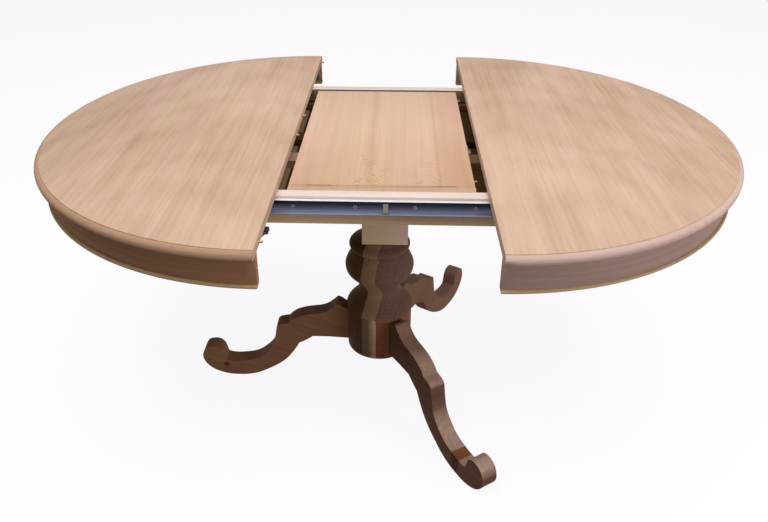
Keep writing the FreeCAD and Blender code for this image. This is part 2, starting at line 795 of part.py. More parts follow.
def make_hinges(lower_face, upper_face):
    """Two butt hinges: the lower board carries the outer knuckles and the pins."""
    half = size("hinge_half")
    split = size("knuckle_split")
    inner = split - size("knuckle_play")
    pin = size("hinge_pin")
    middles = [size(text) for text in HINGE_MIDDLES]
    loose = pin + size("pin_slack")
    lower = [hinge_leaf(middle, lower_face, -1, ((-half, -split), (split, half)), pin) for middle in middles]
    upper = [hinge_leaf(middle, upper_face, 1, ((-inner, inner),), loose) for middle in middles]
    pins = [cylinder(pin, 2 * half, (middle - half, -size("leaf_front"), size("fold_level")), (1, 0, 0))
            for middle in middles]
    new_group("leaf_lower_hinge_plates", lower + pins)
    new_group("leaf_upper_hinge_plates", upper)


def make_leaf_dowels(label, low):
    """The dowels in a leaf board's right edge."""
    shapes = []
    for text, _ in leaf_edge_holes("0"):
        base = (size("leaf_right - dowel_set"), size(text), low + size("leaf_thick / 2"))
        shapes.append(cylinder(size("dowel_radius"), size("dowel_set + leaf_dowel_out"), base, (1, 0, 0)))
    new_group(label, shapes)


def make_latch_plate():
    """An angle plate on the leaf's right edge that a lock's tongue can pull on."""
    body = new_body("leaf_latch_plate")
    sketch = new_sketch(body, "XZ_Plane", "latch_row")
    tip = "leaf_right + latch_reach"
    face = "leaf_right + latch_metal"
    add_outline(sketch, polygon((
        ("leaf_right", "latch_low"), (tip, "latch_low"), (tip, "latch_low + latch_metal"),
        (face, "latch_low + latch_metal"), (face, "latch_high"), ("leaf_right", "latch_high"))))
    add_pad(body, sketch, "latch_width", both_ways=True)


# ---------------------------------------------------------------- pedestal

def make_neck_block():
    """The square neck, hollowed at its foot to sit down over the column's top bead."""
    body = new_board("neck_block", ("block_shift - block_width / 2", "block_shift + block_width / 2"),
                     ("-block_width / 2", "block_width / 2"), ("block_low", "board_low"))
    drill(body, "XY_Plane", "board_low", [("-column_shift", "0")], "rod_radius", "board_low - block_low")
    sketch = new_sketch(body, "XZ_Plane")
    sketch.setExpression("AttachmentOffset.Base.x", bound("-column_shift"))
    top_radius, top_height = BEAD_CURVE[0]
    low_radius, low_height = BEAD_CURVE[-1]
    add_outline(sketch, [
        curve(BEAD_CURVE),
        ("line", (str(low_radius), str(low_height))),
        ("line", ("0", str(low_height))),
        ("line", ("0", str(top_height))),
    ])
    add_turning(body, sketch, kind="Groove")


def make_column():
    """Turned from the solid: a bead, a ball and a vase whose widest part meets the drum."""
    body = new_body("column")
    sketch = new_sketch(body, "XZ_Plane")
    add_outline(sketch, [
        curve(BEAD_CURVE),
        curve(BALL_CURVE),
        curve(NECK_CURVE),
        ("line", (str(NECK_CURVE[-1][0]), "drum_top")),
        ("line", ("rod_radius", "drum_top")),
        ("line", ("rod_radius", str(BEAD_CURVE[0][1]))),
    ])
    add_turning(body, sketch)
    settle(body, x="-column_shift")


def turned_offset(sketch, spin_axis, turn, out):
    """Swing a sketch on an origin plane round the column's axis, then out along its own way."""
    swing = FreeCAD.Rotation(Vector(*spin_axis), turn)
    sketch.AttachmentOffset = FreeCAD.Placement(swing.multVec(Vector(0, 0, size(out))), swing)
    for axis, share in zip("xyz", swing.multVec(Vector(0, 0, 1))):
        sketch.setExpression(f"AttachmentOffset.Base.{axis}", bound(f"{share:.9f} * ({out})"))


def make_drum():
    """The drum that the legs are housed and dowelled into."""
    body = new_body("leg_drum")
    sketch = new_sketch(body, "XZ_Plane")
    add_outline(sketch, [
        curve(DRUM_CURVE),
        ("line", ("drum_radius", str(DRUM_CURVE[-1][1]))),
        ("line", ("drum_radius", "drum_low")),
        ("line", ("rod_radius", "drum_low")),
        ("line", ("rod_radius", "drum_top")),
    ])
    add_turning(body, sketch)
    for turn in LEG_TURNS.values():
        housing = new_sketch(body, "XY_Plane", "(leg_root_high + leg_root_low) / 2")
        add_outline(housing, polygon(rectangle(
            ("leg_root", "leg_root + leg_root_deep"), ("-leg_thick / 2", "leg_thick / 2"))))
        housing.AttachmentOffset = FreeCAD.Placement(Vector(), FreeCAD.Rotation(Vector(0, 0, 1), turn))
        add_pocket(body, housing, "leg_root_high - leg_root_low")
        holes = new_sketch(body, "YZ_Plane")
        add_circles(holes, LEG_DOWEL_CENTRES, "leg_dowel_radius")
        turned_offset(holes, (0, 1, 0), turn, "leg_root")
        add_pocket(body, holes, "leg_dowel_length")
    settle(body, x="-column_shift")


def make_leg(label, turn):
    """A scroll leg, sawn from a plank: ear, shoulder, knee, shin, curled toe and arch."""
    body = new_body(label)
    sketch = new_sketch(body, "XZ_Plane")
    add_outline(sketch, [
        curve(LEG_EAR),
        curve(LEG_SHOULDER),
        curve(LEG_KNEE),
        curve(LEG_SHIN),
        curve(LEG_TOE),
        ("line", LEG_TOE[-1]),
        curve(LEG_ARCH),
        curve(LEG_UNDER),
        ("line", LEG_UNDER[-1]),
        ("line", LEG_HEEL),
        ("line", ("leg_root", "leg_root_low")),
    ])
    add_pad(body, sketch, "leg_thick", both_ways=True)
    drill(body, "YZ_Plane", "leg_root", LEG_DOWEL_CENTRES, "leg_dowel_radius", "leg_dowel_length / 2")
    settle(body, x="-column_shift", turn=turn)


def make_leg_dowels():
    shapes = []
    length = size("leg_dowel_length")
    start = size("leg_root") - length / 2
    for turn in LEG_TURNS.values():
        way = Vector(math.cos(math.radians(turn)), math.sin(math.radians(turn)), 0)
        for _, level in LEG_DOWEL_CENTRES:
            base = way * start + Vector(0, 0, size(level))
            shapes.append(Part.makeCylinder(size("leg_dowel_radius"), length, base, way))
    new_group("leg_dowels", shapes, x="-column_shift")


def make_mounting_board():
    body = new_board("mounting_board", ("-column_shift - board_half", "-column_shift + board_half"),
                     ("-board_half", "board_half"), ("board_low", "rail_low"))
    drill(body, "XY_Plane", "board_low", [("-column_shift", "0")], "rod_radius", "rail_low - board_low")


def make_tie_rod():
    rod = doc.addObject("Part::Cylinder", "tie_rod")
    rod.setExpression("Radius", bound("rod_radius"))
    rod.setExpression("Height", bound("rod_top - rod_low"))
    settle(rod, x="-column_shift", z="rod_low")
    pieces.append(rod)


def hexagon_prism(radius, low, thick):
    corners = [Vector(radius * math.cos(step * math.pi / 3), radius * math.sin(step * math.pi / 3), low)
               for step in range(7)]
    return Part.Face(Part.makePolygon(corners)).extrude(Vector(0, 0, thick))


def make_tie_nuts():
    """A washer and nut under the drum, and a washer and nut on the well floor."""
    washer, nut = size("washer_thick"), size("nut_thick")
    drum, floor = size("drum_low"), size(FLOOR_TOP)
    rod = Part.makeCylinder(size("rod_radius"), size("table_height"))
    shapes = []
    for washer_low, nut_low in ((drum - washer, drum - washer - nut), (floor, floor + washer)):
        ring = Part.makeCylinder(size("washer_radius"), washer, Vector(0, 0, washer_low))
        shapes.append(ring.cut(rod))
        shapes.append(hexagon_prism(size("nut_radius"), nut_low, nut).cut(rod))
    new_group("tie_nuts", shapes, x="-column_shift")


# ---------------------------------------------------------------- assembly

def make_half(name, side):
    make_top_board(name, side)
    make_lipping(name, side)
    make_apron(name, side)
    make_bead(name, side)
    make_battens(name, side)
    for end_name, end in ENDS.items():
        make_member(name, side, end_name, end)
        make_cage(name, side, end_name, end)
    make_balls(name, side)


def make_leaf():
    split = "ledge_top + leaf_thick"
    make_leaf_board("leaf_lower_board", "ledge_top", split, split, "ledge_top + leaf_thick / 2")
    make_leaf_board("leaf_upper_board", f"{split} + leaf_split", f"{split} + leaf_thick + leaf_split",
                    f"{split} + leaf_split", f"{split} + leaf_split + leaf_thick / 2")
    lower_face = size(split)
    upper_face = size(f"{split} + leaf_split")
    make_hinges(lower_face, upper_face)
    make_leaf_dowels("leaf_lower_dowels", lower_face - size("leaf_thick"))
    make_leaf_dowels("leaf_upper_dowels", upper_face)
    make_latch_plate()


def make_pedestal():
    make_mounting_board()
    make_neck_block()
    make_column()
    make_drum()
    for label, turn in LEG_TURNS.items():
        make_leg(label, turn)
    make_leg_dowels()
    make_tie_rod()
    make_tie_nuts()


def check_and_write():
    """Stop on any failed object or bad shape, then write one file for each piece."""
    doc.recompute()
    failed = [item.Name for item in doc.Objects if {"Invalid", "Error"} & set(item.State)]
    bad = [piece.Label for piece in pieces if piece.Shape.isNull() or not piece.Shape.isValid()]
    if failed or bad:
        raise RuntimeError(f"failed objects {failed}, bad shapes {bad}")
    os.makedirs("parts", exist_ok=True)
    for piece in pieces:
        piece.Shape.exportStep(f"parts/{piece.Label}.step")
        print(f"{piece.Label:28s} {len(piece.Shape.Solids):3d} solids {piece.Shape.Volume / 1000:10.2f} cm3")
    print(len(pieces), "pieces")


for half_name, half_side in SIDES.items():
    make_half(half_name, half_side)
make_cut_edge_dowels()
for slide_name, slide_end in ENDS.items():
    make_channel(slide_name, slide_end)
    make_lock_lever(slide_name, slide_end)
make_screws()
make_stops()
make_lock_bodies()
make_lock_keepers()
make_rails()
make_well_floor()
make_ledges()
make_cross_frame()
make_leaf()
make_pedestal()
check_and_write()
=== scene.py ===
# %% [markdown]
# # A round extending table in raw oak
# The table stands open: its two half discs are pulled apart on ball slides, and the folded
# leaf lies in the well between them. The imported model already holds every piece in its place
# and the way it moves. This lesson gives those pieces their finish: eased edges, turned work,
# rolled steel, wood that shows its figure, and a plain studio to see them in.

# %% Load the table
import json
import math

import bmesh
import bpy
from mathutils import Matrix, Vector
from mathutils.geometry import interpolate_bezier


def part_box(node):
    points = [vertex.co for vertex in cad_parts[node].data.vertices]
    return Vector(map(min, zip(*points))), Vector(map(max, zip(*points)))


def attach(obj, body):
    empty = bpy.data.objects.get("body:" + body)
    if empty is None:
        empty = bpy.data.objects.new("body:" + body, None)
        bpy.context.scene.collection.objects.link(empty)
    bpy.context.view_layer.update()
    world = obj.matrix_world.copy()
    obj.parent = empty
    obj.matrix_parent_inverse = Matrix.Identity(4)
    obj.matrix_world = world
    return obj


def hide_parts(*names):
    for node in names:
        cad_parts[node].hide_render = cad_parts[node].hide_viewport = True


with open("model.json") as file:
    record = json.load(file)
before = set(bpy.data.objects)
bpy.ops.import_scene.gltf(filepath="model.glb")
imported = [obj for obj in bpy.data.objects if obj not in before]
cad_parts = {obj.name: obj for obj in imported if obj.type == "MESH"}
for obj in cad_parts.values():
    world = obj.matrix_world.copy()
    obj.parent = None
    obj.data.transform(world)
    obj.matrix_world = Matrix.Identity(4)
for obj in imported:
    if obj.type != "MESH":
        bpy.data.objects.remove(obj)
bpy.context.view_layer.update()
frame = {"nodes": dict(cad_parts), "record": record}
BODY_OF = {node: body for body, nodes in frame["record"]["behaviour"]["bodies"].items()
           for node in nodes}

# %% [markdown]
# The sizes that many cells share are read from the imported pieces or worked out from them, so
# the finish always fits the construction. The pedestal's axis stands a little left of the
# middle of the gap, as the neck block shows.

# %% Shared places
LEFT_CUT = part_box("left_top_board")[1][0]
RIGHT_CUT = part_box("right_top_board")[0][0]
AXIS_X = (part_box("tie_rod")[0][0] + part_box("tie_rod")[1][0]) / 2
SLIDE_LOW, SLIDE_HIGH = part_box("front_slide_channel")
RAIL_OUTER = -SLIDE_HIGH[1]
SLIDE_MID = (SLIDE_LOW[2] + SLIDE_HIGH[2]) / 2
print("cut edges", LEFT_CUT, RIGHT_CUT, "column axis", AXIS_X)

# %% [markdown]
# The camera stands a little above the table and looks down at the front. A lens of 33 mm on a
# full frame and a small shift give the crossing lines of the two cut edges. The camera's turn
# is set from three angles: yaw to the side, pitch down, and a trace of roll.

# %% Camera
CAMERA_PLACE = Vector((0.0284, -1.6091, 1.4227))
CAMERA_YAW = -0.0372
CAMERA_PITCH = 0.4670
CAMERA_ROLL = -0.0021
FULL_FRAME = 36.0
LENS = 32.944
LENS_SHIFT = (0.0148, -0.0954)


def aim_camera():
    """A camera whose three axes are worked out from yaw, pitch and roll."""
    lens = bpy.data.cameras.new("studio_camera")
    lens.lens = LENS
    lens.sensor_width = FULL_FRAME
    lens.shift_x, lens.shift_y = LENS_SHIFT
    camera = bpy.data.objects.new("studio_camera", lens)
    bpy.context.scene.collection.objects.link(camera)
    ahead = Vector((math.sin(CAMERA_YAW) * math.cos(CAMERA_PITCH),
                    math.cos(CAMERA_YAW) * math.cos(CAMERA_PITCH), -math.sin(CAMERA_PITCH)))
    right = Vector((math.cos(CAMERA_YAW), -math.sin(CAMERA_YAW), 0.0))
    up = right.cross(ahead)
    tilt_right = right * math.cos(CAMERA_ROLL) + up * math.sin(CAMERA_ROLL)
    tilt_up = up * math.cos(CAMERA_ROLL) - right * math.sin(CAMERA_ROLL)
    camera.matrix_world = Matrix.Translation(CAMERA_PLACE) @ Matrix(
        (tilt_right, tilt_up, -ahead)).transposed().to_4x4()
    bpy.context.scene.camera = camera
    return camera


aim_camera()
bpy.context.scene.view_settings.view_transform = "Standard"
print("camera", tuple(round(v, 3) for v in bpy.context.scene.camera.location))

# %% [markdown]
# Materials are built from nodes. Small helpers add a node, plug its inputs, and start or place
# a shader node group. A group is built once, then placed in each wood with its own values.

# %% Node helpers
def plug_in(tree, node, plugs):
    """Plug a node; each plug is a value or the output socket that feeds it."""
    for key, value in plugs.items():
        if isinstance(value, bpy.types.NodeSocket):
            tree.links.new(value, node.inputs[key])
        else:
            node.inputs[key].default_value = value
    return node


def add_node(tree, kind, plugs=None, **settings):
    """Add a node with its settings and plug it."""
    node = tree.nodes.new(f"ShaderNode{kind}")
    for name, value in settings.items():
        setattr(node, name, value)
    return plug_in(tree, node, plugs or {})


def place_group(tree, group, plugs):
    """Put a node group into a material and plug it."""
    node = tree.nodes.new("ShaderNodeGroup")
    node.node_tree = group
    return plug_in(tree, node, plugs)


def start_group(name, inputs, **outputs):
    """A new group; returns its tree, its input sockets and its output node."""
    tree = bpy.data.node_groups.new(name, "ShaderNodeTree")
    for label, value in inputs.items():
        size = len(value) if isinstance(value, tuple) else 1
        kind = {1: "Float", 3: "Vector", 4: "Color"}[size]
        tree.interface.new_socket(name=label, in_out="INPUT",
                                  socket_type=f"NodeSocket{kind}").default_value = value
    for label, kind in outputs.items():
        tree.interface.new_socket(name=label, in_out="OUTPUT", socket_type=f"NodeSocket{kind}")
    return tree, tree.nodes.new("NodeGroupInput").outputs, tree.nodes.new("NodeGroupOutput")


def new_material(name):
    """A material with nodes; returns it with its tree and its Principled shader."""
    material = bpy.data.materials.new(name)
    material.use_nodes = True
    return material, material.node_tree, material.node_tree.nodes["Principled BSDF"]


def open_material(material):
    """A material's tree, its shader, and the colour that feeds the shader so far."""
    tree = material.node_tree
    shader = tree.nodes["Principled BSDF"]
    return tree, shader, shader.inputs["Base Color"].links[0].from_socket


print("node helpers ready")

# %% [markdown]
# The same few sums come back in every material, so each gets a name here: noise, a length, a
# share of the way between two values, and colours laid over each other.

# %% Sums and colours
def calc(tree, operation, *values):
    """A Math node's output for one to three values or sockets."""
    return add_node(tree, "Math", dict(enumerate(values)), operation=operation).outputs[0]


def own_spot(tree):
    """A spot in the piece's own coordinates, which at rest are the table's."""
    return add_node(tree, "TexCoord").outputs["Object"]


def stretched(tree, vector, shares):
    """A vector with each direction multiplied by its own share."""
    return add_node(tree, "VectorMath", {0: vector, 1: shares}, operation="MULTIPLY").outputs[0]


def turned(tree, vector, rotation):
    """A vector turned about the origin."""
    return add_node(tree, "Mapping", {"Vector": vector, "Rotation": rotation}).outputs[0]


def flat_length(tree, first, second):
    """The length of a flat vector."""
    flat = add_node(tree, "CombineXYZ", {0: first, 1: second}).outputs[0]
    return add_node(tree, "VectorMath", {0: flat}, operation="LENGTH").outputs["Value"]


def share_between(tree, value, low, high, top=1.0):
    """How far a value is from low to high, held between 0 and the top."""
    return add_node(tree, "MapRange", {"Value": value, "From Min": low, "From Max": high,
                                       "To Max": top}).outputs[0]


def noise(tree, vector, detail, scale=1.0, roughness=0.5):
    """Smooth noise between 0 and 1."""
    return add_node(tree, "TexNoise", {"Vector": vector, "Scale": scale, "Detail": detail,
                                       "Roughness": roughness}).outputs["Fac"]


def swing(tree, share):
    """Noise moved down to swing round zero."""
    return calc(tree, "SUBTRACT", share, 0.5)


def crests(tree, turns, sharpness):
    """A wave from 0 to 1, one crest for each turn; more sharpness makes the crests thinner."""
    wave = calc(tree, "SINE", calc(tree, "MULTIPLY", turns, math.tau))
    return calc(tree, "POWER", calc(tree, "MULTIPLY_ADD", wave, 0.5, 0.5), sharpness)


def blend_colours(tree, share, first, second, way="MIX"):
    """A Mix node's colour output; its colour sockets are 6 and 7."""
    return add_node(tree, "Mix", {0: share, 6: first, 7: second}, data_type="RGBA",
                    blend_type=way, clamp_factor=True).outputs[2]


def multiplied(tree, colour, tone, share=1.0):
    """A colour multiplied by a tone, as far as a share says."""
    return blend_colours(tree, share, colour, tone, way="MULTIPLY")


def colour_ramp(tree, share, stops, way="LINEAR"):
    """The colour of a share on a ramp through (place, colour) stops."""
    node = add_node(tree, "ValToRGB", {"Fac": share})
    node.color_ramp.interpolation = way
    elements = node.color_ramp.elements
    first, *between, last = stops
    for element, (place, colour) in ((elements[0], first), (elements[-1], last)):
        element.position, element.color = place, colour
    for place, colour in between:
        elements.new(place).color = colour
    return node.outputs["Color"]


print("sums and colours ready")

# %% [markdown]
# Oak shows three things at once. Growth rings are cones around the heart of the tree, and a
# board cuts them into long arches, so the group measures the distance to a heart line that
# leans away under the board. Fibres are noise stretched along the grain. Pores are short dark
# dashes. A slow drift of tone lies under all three, and broad bands lean towards yellow or
# pink. X runs across the board, Y along the grain and Z into the wood. Each mark has its
# repeats in a metre in these directions, and its detail.

# %% Wood figure group
YELLOW_BAND = (0.985, 1.01, 0.96, 1)
PINK_BAND = (1.015, 0.99, 1.04, 1)
MARKS = {"sway": ((5.0, 1.6, 5.0), 2.0), "deep sway": ((3.1, 2.3, 9.0), 2.0),
         "ripple": ((40.0, 3.0, 40.0), 2.0), "fibre": ((170.0, 4.0, 170.0), 4.0),
         "band": ((42.0, 1.3, 42.0), 3.0), "drift": ((6.0, 2.5, 6.0), 2.0),
         "pore": ((620.0, 26.0, 620.0), 1.0), "blush": ((17.0, 0.9, 17.0), 1.0)}
MARK_ROUGHNESS = 0.55
RIPPLE_TURNS = 0.7
RING_SHARPNESS = 1.7
PORE_START, PORE_FULL = 0.60, 0.72
PORE_HEIGHT = -0.6
GROUND_TONE = 0.35
MATT, MATT_SWING = 0.72, 0.25
FIGURE_INPUTS = {
    "Vector": (0, 0, 0), "Light": (0.6, 0.4, 0.3, 1), "Dark": (0.4, 0.3, 0.2, 1), "Heart": 0.08,
    "Lean": 0.1, "Wander": 0.03, "Rings": 120.0, "Ring Amount": 0.4, "Fibre": 0.5, "Drift": 0.5,
    "Pore": 0.3, "Blush": 1.0}


def build_wood_figure():
    tree, given, result = start_group("wood_figure", FIGURE_INPUTS, Color="Color",
                                      Height="Float", Roughness="Float")

    def mark(kind):
        repeats, detail = MARKS[kind]
        return noise(tree, stretched(tree, given["Vector"], repeats), detail,
                     roughness=MARK_ROUGHNESS)

    def swinging(kind):
        return swing(tree, mark(kind))

    split = add_node(tree, "SeparateXYZ", {0: given["Vector"]}).outputs
    sway = calc(tree, "MULTIPLY", swinging("sway"), given["Wander"])
    across = calc(tree, "ADD", split["X"], sway)
    deep = calc(tree, "MULTIPLY_ADD", split["Y"], given["Lean"], given["Heart"])
    deep = calc(tree, "ADD", deep, split["Z"])
    deep_sway = calc(tree, "MULTIPLY", swinging("deep sway"), given["Wander"])
    reach = flat_length(tree, across, calc(tree, "ADD", deep, deep_sway))
    turns = calc(tree, "MULTIPLY", reach, given["Rings"])
    turns = calc(tree, "MULTIPLY_ADD", mark("ripple"), RIPPLE_TURNS, turns)
    fibre = swinging("fibre")
    pore = share_between(tree, mark("pore"), PORE_START, PORE_FULL)
    darkness = GROUND_TONE
    rings = crests(tree, turns, RING_SHARPNESS)
    for layer, amount in ((rings, "Ring Amount"), (fibre, "Fibre"), (swinging("band"), "Fibre"),
                          (swinging("drift"), "Drift"), (pore, "Pore")):
        darkness = calc(tree, "MULTIPLY_ADD", layer, given[amount], darkness)
    toned = blend_colours(tree, darkness, given["Light"], given["Dark"])
    blush = calc(tree, "MULTIPLY_ADD", swinging("blush"), given["Blush"], 0.5)
    hue = blend_colours(tree, blush, YELLOW_BAND, PINK_BAND)
    plug_in(tree, result, {
        "Color": multiplied(tree, toned, hue),
        "Height": calc(tree, "MULTIPLY_ADD", pore, PORE_HEIGHT, fibre),
        "Roughness": calc(tree, "MULTIPLY_ADD", fibre, MATT_SWING, MATT)})
    return tree


WOOD_FIGURE = build_wood_figure()
print("wood figure group", len(WOOD_FIGURE.nodes), "nodes")

# %% [markdown]
# The aprons and edge mouldings are bent, so their grain runs round the curve. This group
# turns a plain place into one on the unrolled strip: out from the middle of the half disc,
# along the arc, and up.

# %% Bent grain group
def build_bent_grain():
    tree, given, result = start_group(
        "bent_grain", {"Vector": (0, 0, 0), "Middle": 0.0, "Radius": 0.58}, Vector="Vector")
    split = add_node(tree, "SeparateXYZ", {0: given["Vector"]}).outputs
    side = calc(tree, "ABSOLUTE", calc(tree, "SUBTRACT", split["X"], given["Middle"]))
    turn = calc(tree, "ARCTAN2", split["Y"], side)
    arc = calc(tree, "MULTIPLY", turn, given["Radius"])
    out = flat_length(tree, side, split["Y"])
    unrolled = add_node(tree, "CombineXYZ", {0: split["Z"], 1: arc, 2: out}).outputs[0]
    plug_in(tree, result, {"Vector": unrolled})
    return tree


BENT_GRAIN = build_bent_grain()
print("bent grain group", len(BENT_GRAIN.nodes), "nodes")

# %% [markdown]
# Thick parts are glued up from staves, and a thin glue line shows between them. The group cuts
# one coordinate into strips and marks what lies close to a joint.

# %% Stave group
def build_staves():
    tree, given, result = start_group(
        "staves", {"Place": 0.0, "Width": 0.04, "Start": 0.0, "Glue Line": 0.0008}, Joint="Float")
    moved = calc(tree, "SUBTRACT", given["Place"], given["Start"])
    strips = calc(tree, "DIVIDE", moved, given["Width"])
    nearest = calc(tree, "ROUND", strips)
    off = calc(tree, "ABSOLUTE", calc(tree, "SUBTRACT", strips, nearest))
    gap = calc(tree, "MULTIPLY", off, given["Width"])
    plug_in(tree, result, {"Joint": calc(tree, "LESS_THAN", gap, given["Glue Line"])})
    return tree


STAVES = build_staves()
print("stave group", len(STAVES.nodes), "nodes")

# %% [markdown]
# Some tones are tied to a place, such as the painted shade inside a rail and on the back beam.
# The group weighs the coordinates by an axis and gives a mask that rises between two values. A
# band is a zone that a second one takes back.

# %% Zone group
ALONG_X, ALONG_Y, ALONG_Z = (1, 0, 0), (0, 1, 0), (0, 0, 1)


def build_zone():
    tree, given, result = start_group(
        "zone", {"Vector": (0, 0, 0), "Axis": ALONG_Z, "Low": 0.0, "High": 1.0}, Mask="Float")
    along = add_node(tree, "VectorMath", {0: given["Vector"], 1: given["Axis"]},
                     operation="DOT_PRODUCT").outputs["Value"]
    plug_in(tree, result, {"Mask": share_between(tree, along, given["Low"], given["High"])})
    return tree


ZONE = build_zone()


def shade_where(material, mask, tone):
    """Multiply a material's colour by a tone, as far as a mask says."""
    tree, shader, plain = open_material(material)
    shaded = blend_colours(tree, mask, plain, multiplied(tree, plain, tone))
    plug_in(tree, shader, {"Base Color": shaded})


def tint_zone(material, axis, low, high, tone, both_sides=False):
    """Multiply a colour by a tone where the coordinate along an axis passes low to high."""
    tree = material.node_tree
    spot = own_spot(tree)
    if both_sides:
        spot = add_node(tree, "VectorMath", {0: spot}, operation="ABSOLUTE").outputs[0]
    zone = place_group(tree, ZONE, {"Vector": spot, "Axis": axis, "Low": low, "High": high})
    shade_where(material, zone.outputs["Mask"], tone)


def tint_band(material, axis, rise, fall, tone):
    """Tint between two slopes, each given by its two ends."""
    tint_zone(material, axis, *rise, tone)
    tint_zone(material, axis, *fall, tuple(1 / share for share in tone))


print("zone group", len(ZONE.nodes), "nodes")

# %% [markdown]
# Where a veneer is cut near the heart, its rings run out in ragged peaks, nested like the barbs
# of a feather. The group measures how far a spot lies along the grain from a peak, adds the way
# to the side times a slope, lets noise fray the sum, and turns it into thin broken strokes that
# fade away from the peak.

# %% Arch group
FRAY_REPEATS, FRAY_DETAIL, FRAY_WIDTH = (90.0, 25.0, 1.0), 3.0, 0.050
BREAK_REPEATS, BREAK_DETAIL = (60.0, 30.0, 1.0), 2.0
BREAK_START, BREAK_END = 0.47, 0.60
STROKE_SHARPNESS = 3.0
FADE_OUT, FADE_FULL = 1.15, 0.8
ALONG_SHARE = 0.5


def build_arch():
    tree, given, result = start_group("arch", {
        "Vector": (0, 0, 0), "Peak": (0, 0, 0), "Slope": 1.3, "Reach": 0.05, "Rings": 80.0},
        Mask="Float")
    way = add_node(tree, "VectorMath", {0: given["Vector"], 1: given["Peak"]},
                   operation="SUBTRACT").outputs[0]
    split = add_node(tree, "SeparateXYZ", {0: way}).outputs
    side = calc(tree, "ABSOLUTE", split["X"])
    crest = calc(tree, "MULTIPLY_ADD", side, given["Slope"], split["Y"])
    fray = swing(tree, noise(tree, stretched(tree, way, FRAY_REPEATS), FRAY_DETAIL))
    frayed = calc(tree, "MULTIPLY_ADD", fray, FRAY_WIDTH, crest)
    turns = calc(tree, "MULTIPLY", frayed, given["Rings"])
    broken = noise(tree, stretched(tree, way, BREAK_REPEATS), BREAK_DETAIL)
    shown = share_between(tree, broken, BREAK_START, BREAK_END)
    stroke = calc(tree, "MULTIPLY", crests(tree, turns, STROKE_SHARPNESS), shown)
    reach = flat_length(tree, split["X"], calc(tree, "MULTIPLY", split["Y"], ALONG_SHARE))
    reach = calc(tree, "DIVIDE", reach, given["Reach"])
    fade = share_between(tree, reach, FADE_OUT, FADE_FULL)
    plug_in(tree, result, {"Mask": calc(tree, "MULTIPLY", stroke, fade)})
    return tree


ARCH = build_arch()
print("arch group", len(ARCH.nodes), "nodes")

# %% [markdown]
# Every wood in the table is one recipe with its own values: where the grain points, two
# tones, and how much ring, fibre, drift and pore shows. The Principled shader stays in the
# material itself; the group only feeds it.

# %% Wood material recipe
def srgb(red, green, blue):
    """A colour written as 0-255 screen values, turned into linear light."""
    def linear(value):
        value = value / 255.0
        return value / 12.92 if value <= 0.04045 else ((value + 0.055) / 1.055) ** 2.4
    return (linear(red), linear(green), linear(blue), 1.0)


WHITE = (1, 1, 1, 1)
GRAIN_Y = (0.0, 0.0, 0.0)
GRAIN_X = (0.0, 0.0, math.pi / 2)
GRAIN_Z = (math.pi / 2, 0.0, 0.0)
FIBRE_BUMP = {"Strength": 0.25, "Distance": 0.0006}
WOOD_SPECULAR = 0.1


def plain_wood(name, light, dark, turn=GRAIN_Y, shift=(0, 0, 0), figure=None, bend=None):
    """A raw wood; bend is the middle and the radius of a strip that is bent."""
    material, tree, shader = new_material(name)
    spot = own_spot(tree)
    if bend:
        middle, radius = bend
        spot = place_group(tree, BENT_GRAIN, {"Vector": spot, "Middle": middle,
                                              "Radius": radius}).outputs[0]
    spot = add_node(tree, "Mapping", {"Vector": spot, "Rotation": turn,
                                      "Location": shift}).outputs[0]
    wood = place_group(tree, WOOD_FIGURE, {"Vector": spot, "Light": light, "Dark": dark,
                                           **(figure or {})}).outputs
    bump = add_node(tree, "Bump", {"Height": wood["Height"], **FIBRE_BUMP})
    plug_in(tree, shader, {"Base Color": wood["Color"], "Roughness": wood["Roughness"],
                           "Normal": bump.outputs[0], "Specular IOR Level": WOOD_SPECULAR})
    return material


print("wood recipe ready")

# %% [markdown]
# The tops are veneered in oak with quiet, nearly straight figure. The folded leaf comes from a
# warmer sheet that is plainer still, with a ragged arch near its front edge, a fainter one
# beside it, and two dark streaks where the heart of the tree ran. It deepens in tone towards
# the front and at its right edge. The guard strip in front of it is cut from the same sheet.
# An arch is its peak, slope, reach, rings and strength, a streak its middle and half width.

# %% Veneers
VENEER_TONES = srgb(222, 190, 166), srgb(194, 159, 134)
LEAF_TONES = srgb(236, 202, 175), srgb(212, 175, 149)
STRAIGHT = {"Heart": 0.02, "Lean": 0.13, "Wander": 0.05, "Rings": 42.0, "Ring Amount": 0.17,
            "Fibre": 0.95, "Drift": 1.3, "Pore": 0.25, "Blush": 1.5}
QUIET = {"Heart": 0.35, "Lean": 0.05, "Wander": 0.05, "Rings": 30.0, "Ring Amount": 0.08,
         "Fibre": 0.55, "Drift": 0.9, "Pore": 0.12, "Blush": 3.5}
LEFT_SHEET, RIGHT_SHEET, LEAF_SHEET = (0.40, 0.75, 0), (-0.36, 0.9, 0.2), (0.035, 0.42, -0.74)
veneer_left = plain_wood("oak_veneer_left", *VENEER_TONES, shift=LEFT_SHEET, figure=STRAIGHT)
veneer_right = plain_wood("oak_veneer_right", *VENEER_TONES, shift=RIGHT_SHEET, figure=STRAIGHT)
veneer_leaf = plain_wood("oak_veneer_leaf", *LEAF_TONES, shift=LEAF_SHEET, figure=QUIET)
guard_wood = plain_wood("guard_wood", *LEAF_TONES, shift=LEAF_SHEET, figure=QUIET)
LEAF_FRONT_SHADE = (0.84, 0.78, 0.72, 1)
LEAF_RIGHT_SHADE = (0.94, 0.88, 0.86, 1)
LEFT_RIM_PAINTED_SHADE = (0.88, 0.88, 0.88, 1)
GUARD_JOINT_PAINTED_LIGHT = (1.22, 1.20, 1.24, 1)
STROKE_SHADE = (0.80, 0.76, 0.70, 1)
HEART_SHADE = (0.92, 0.88, 0.86, 1)
ARCHES = (((-0.034, -0.225, 0), 1.5, 0.050, 52.0, 1.0), ((0.096, -0.235, 0), 1.2, 0.042, 45.0, 0.5))
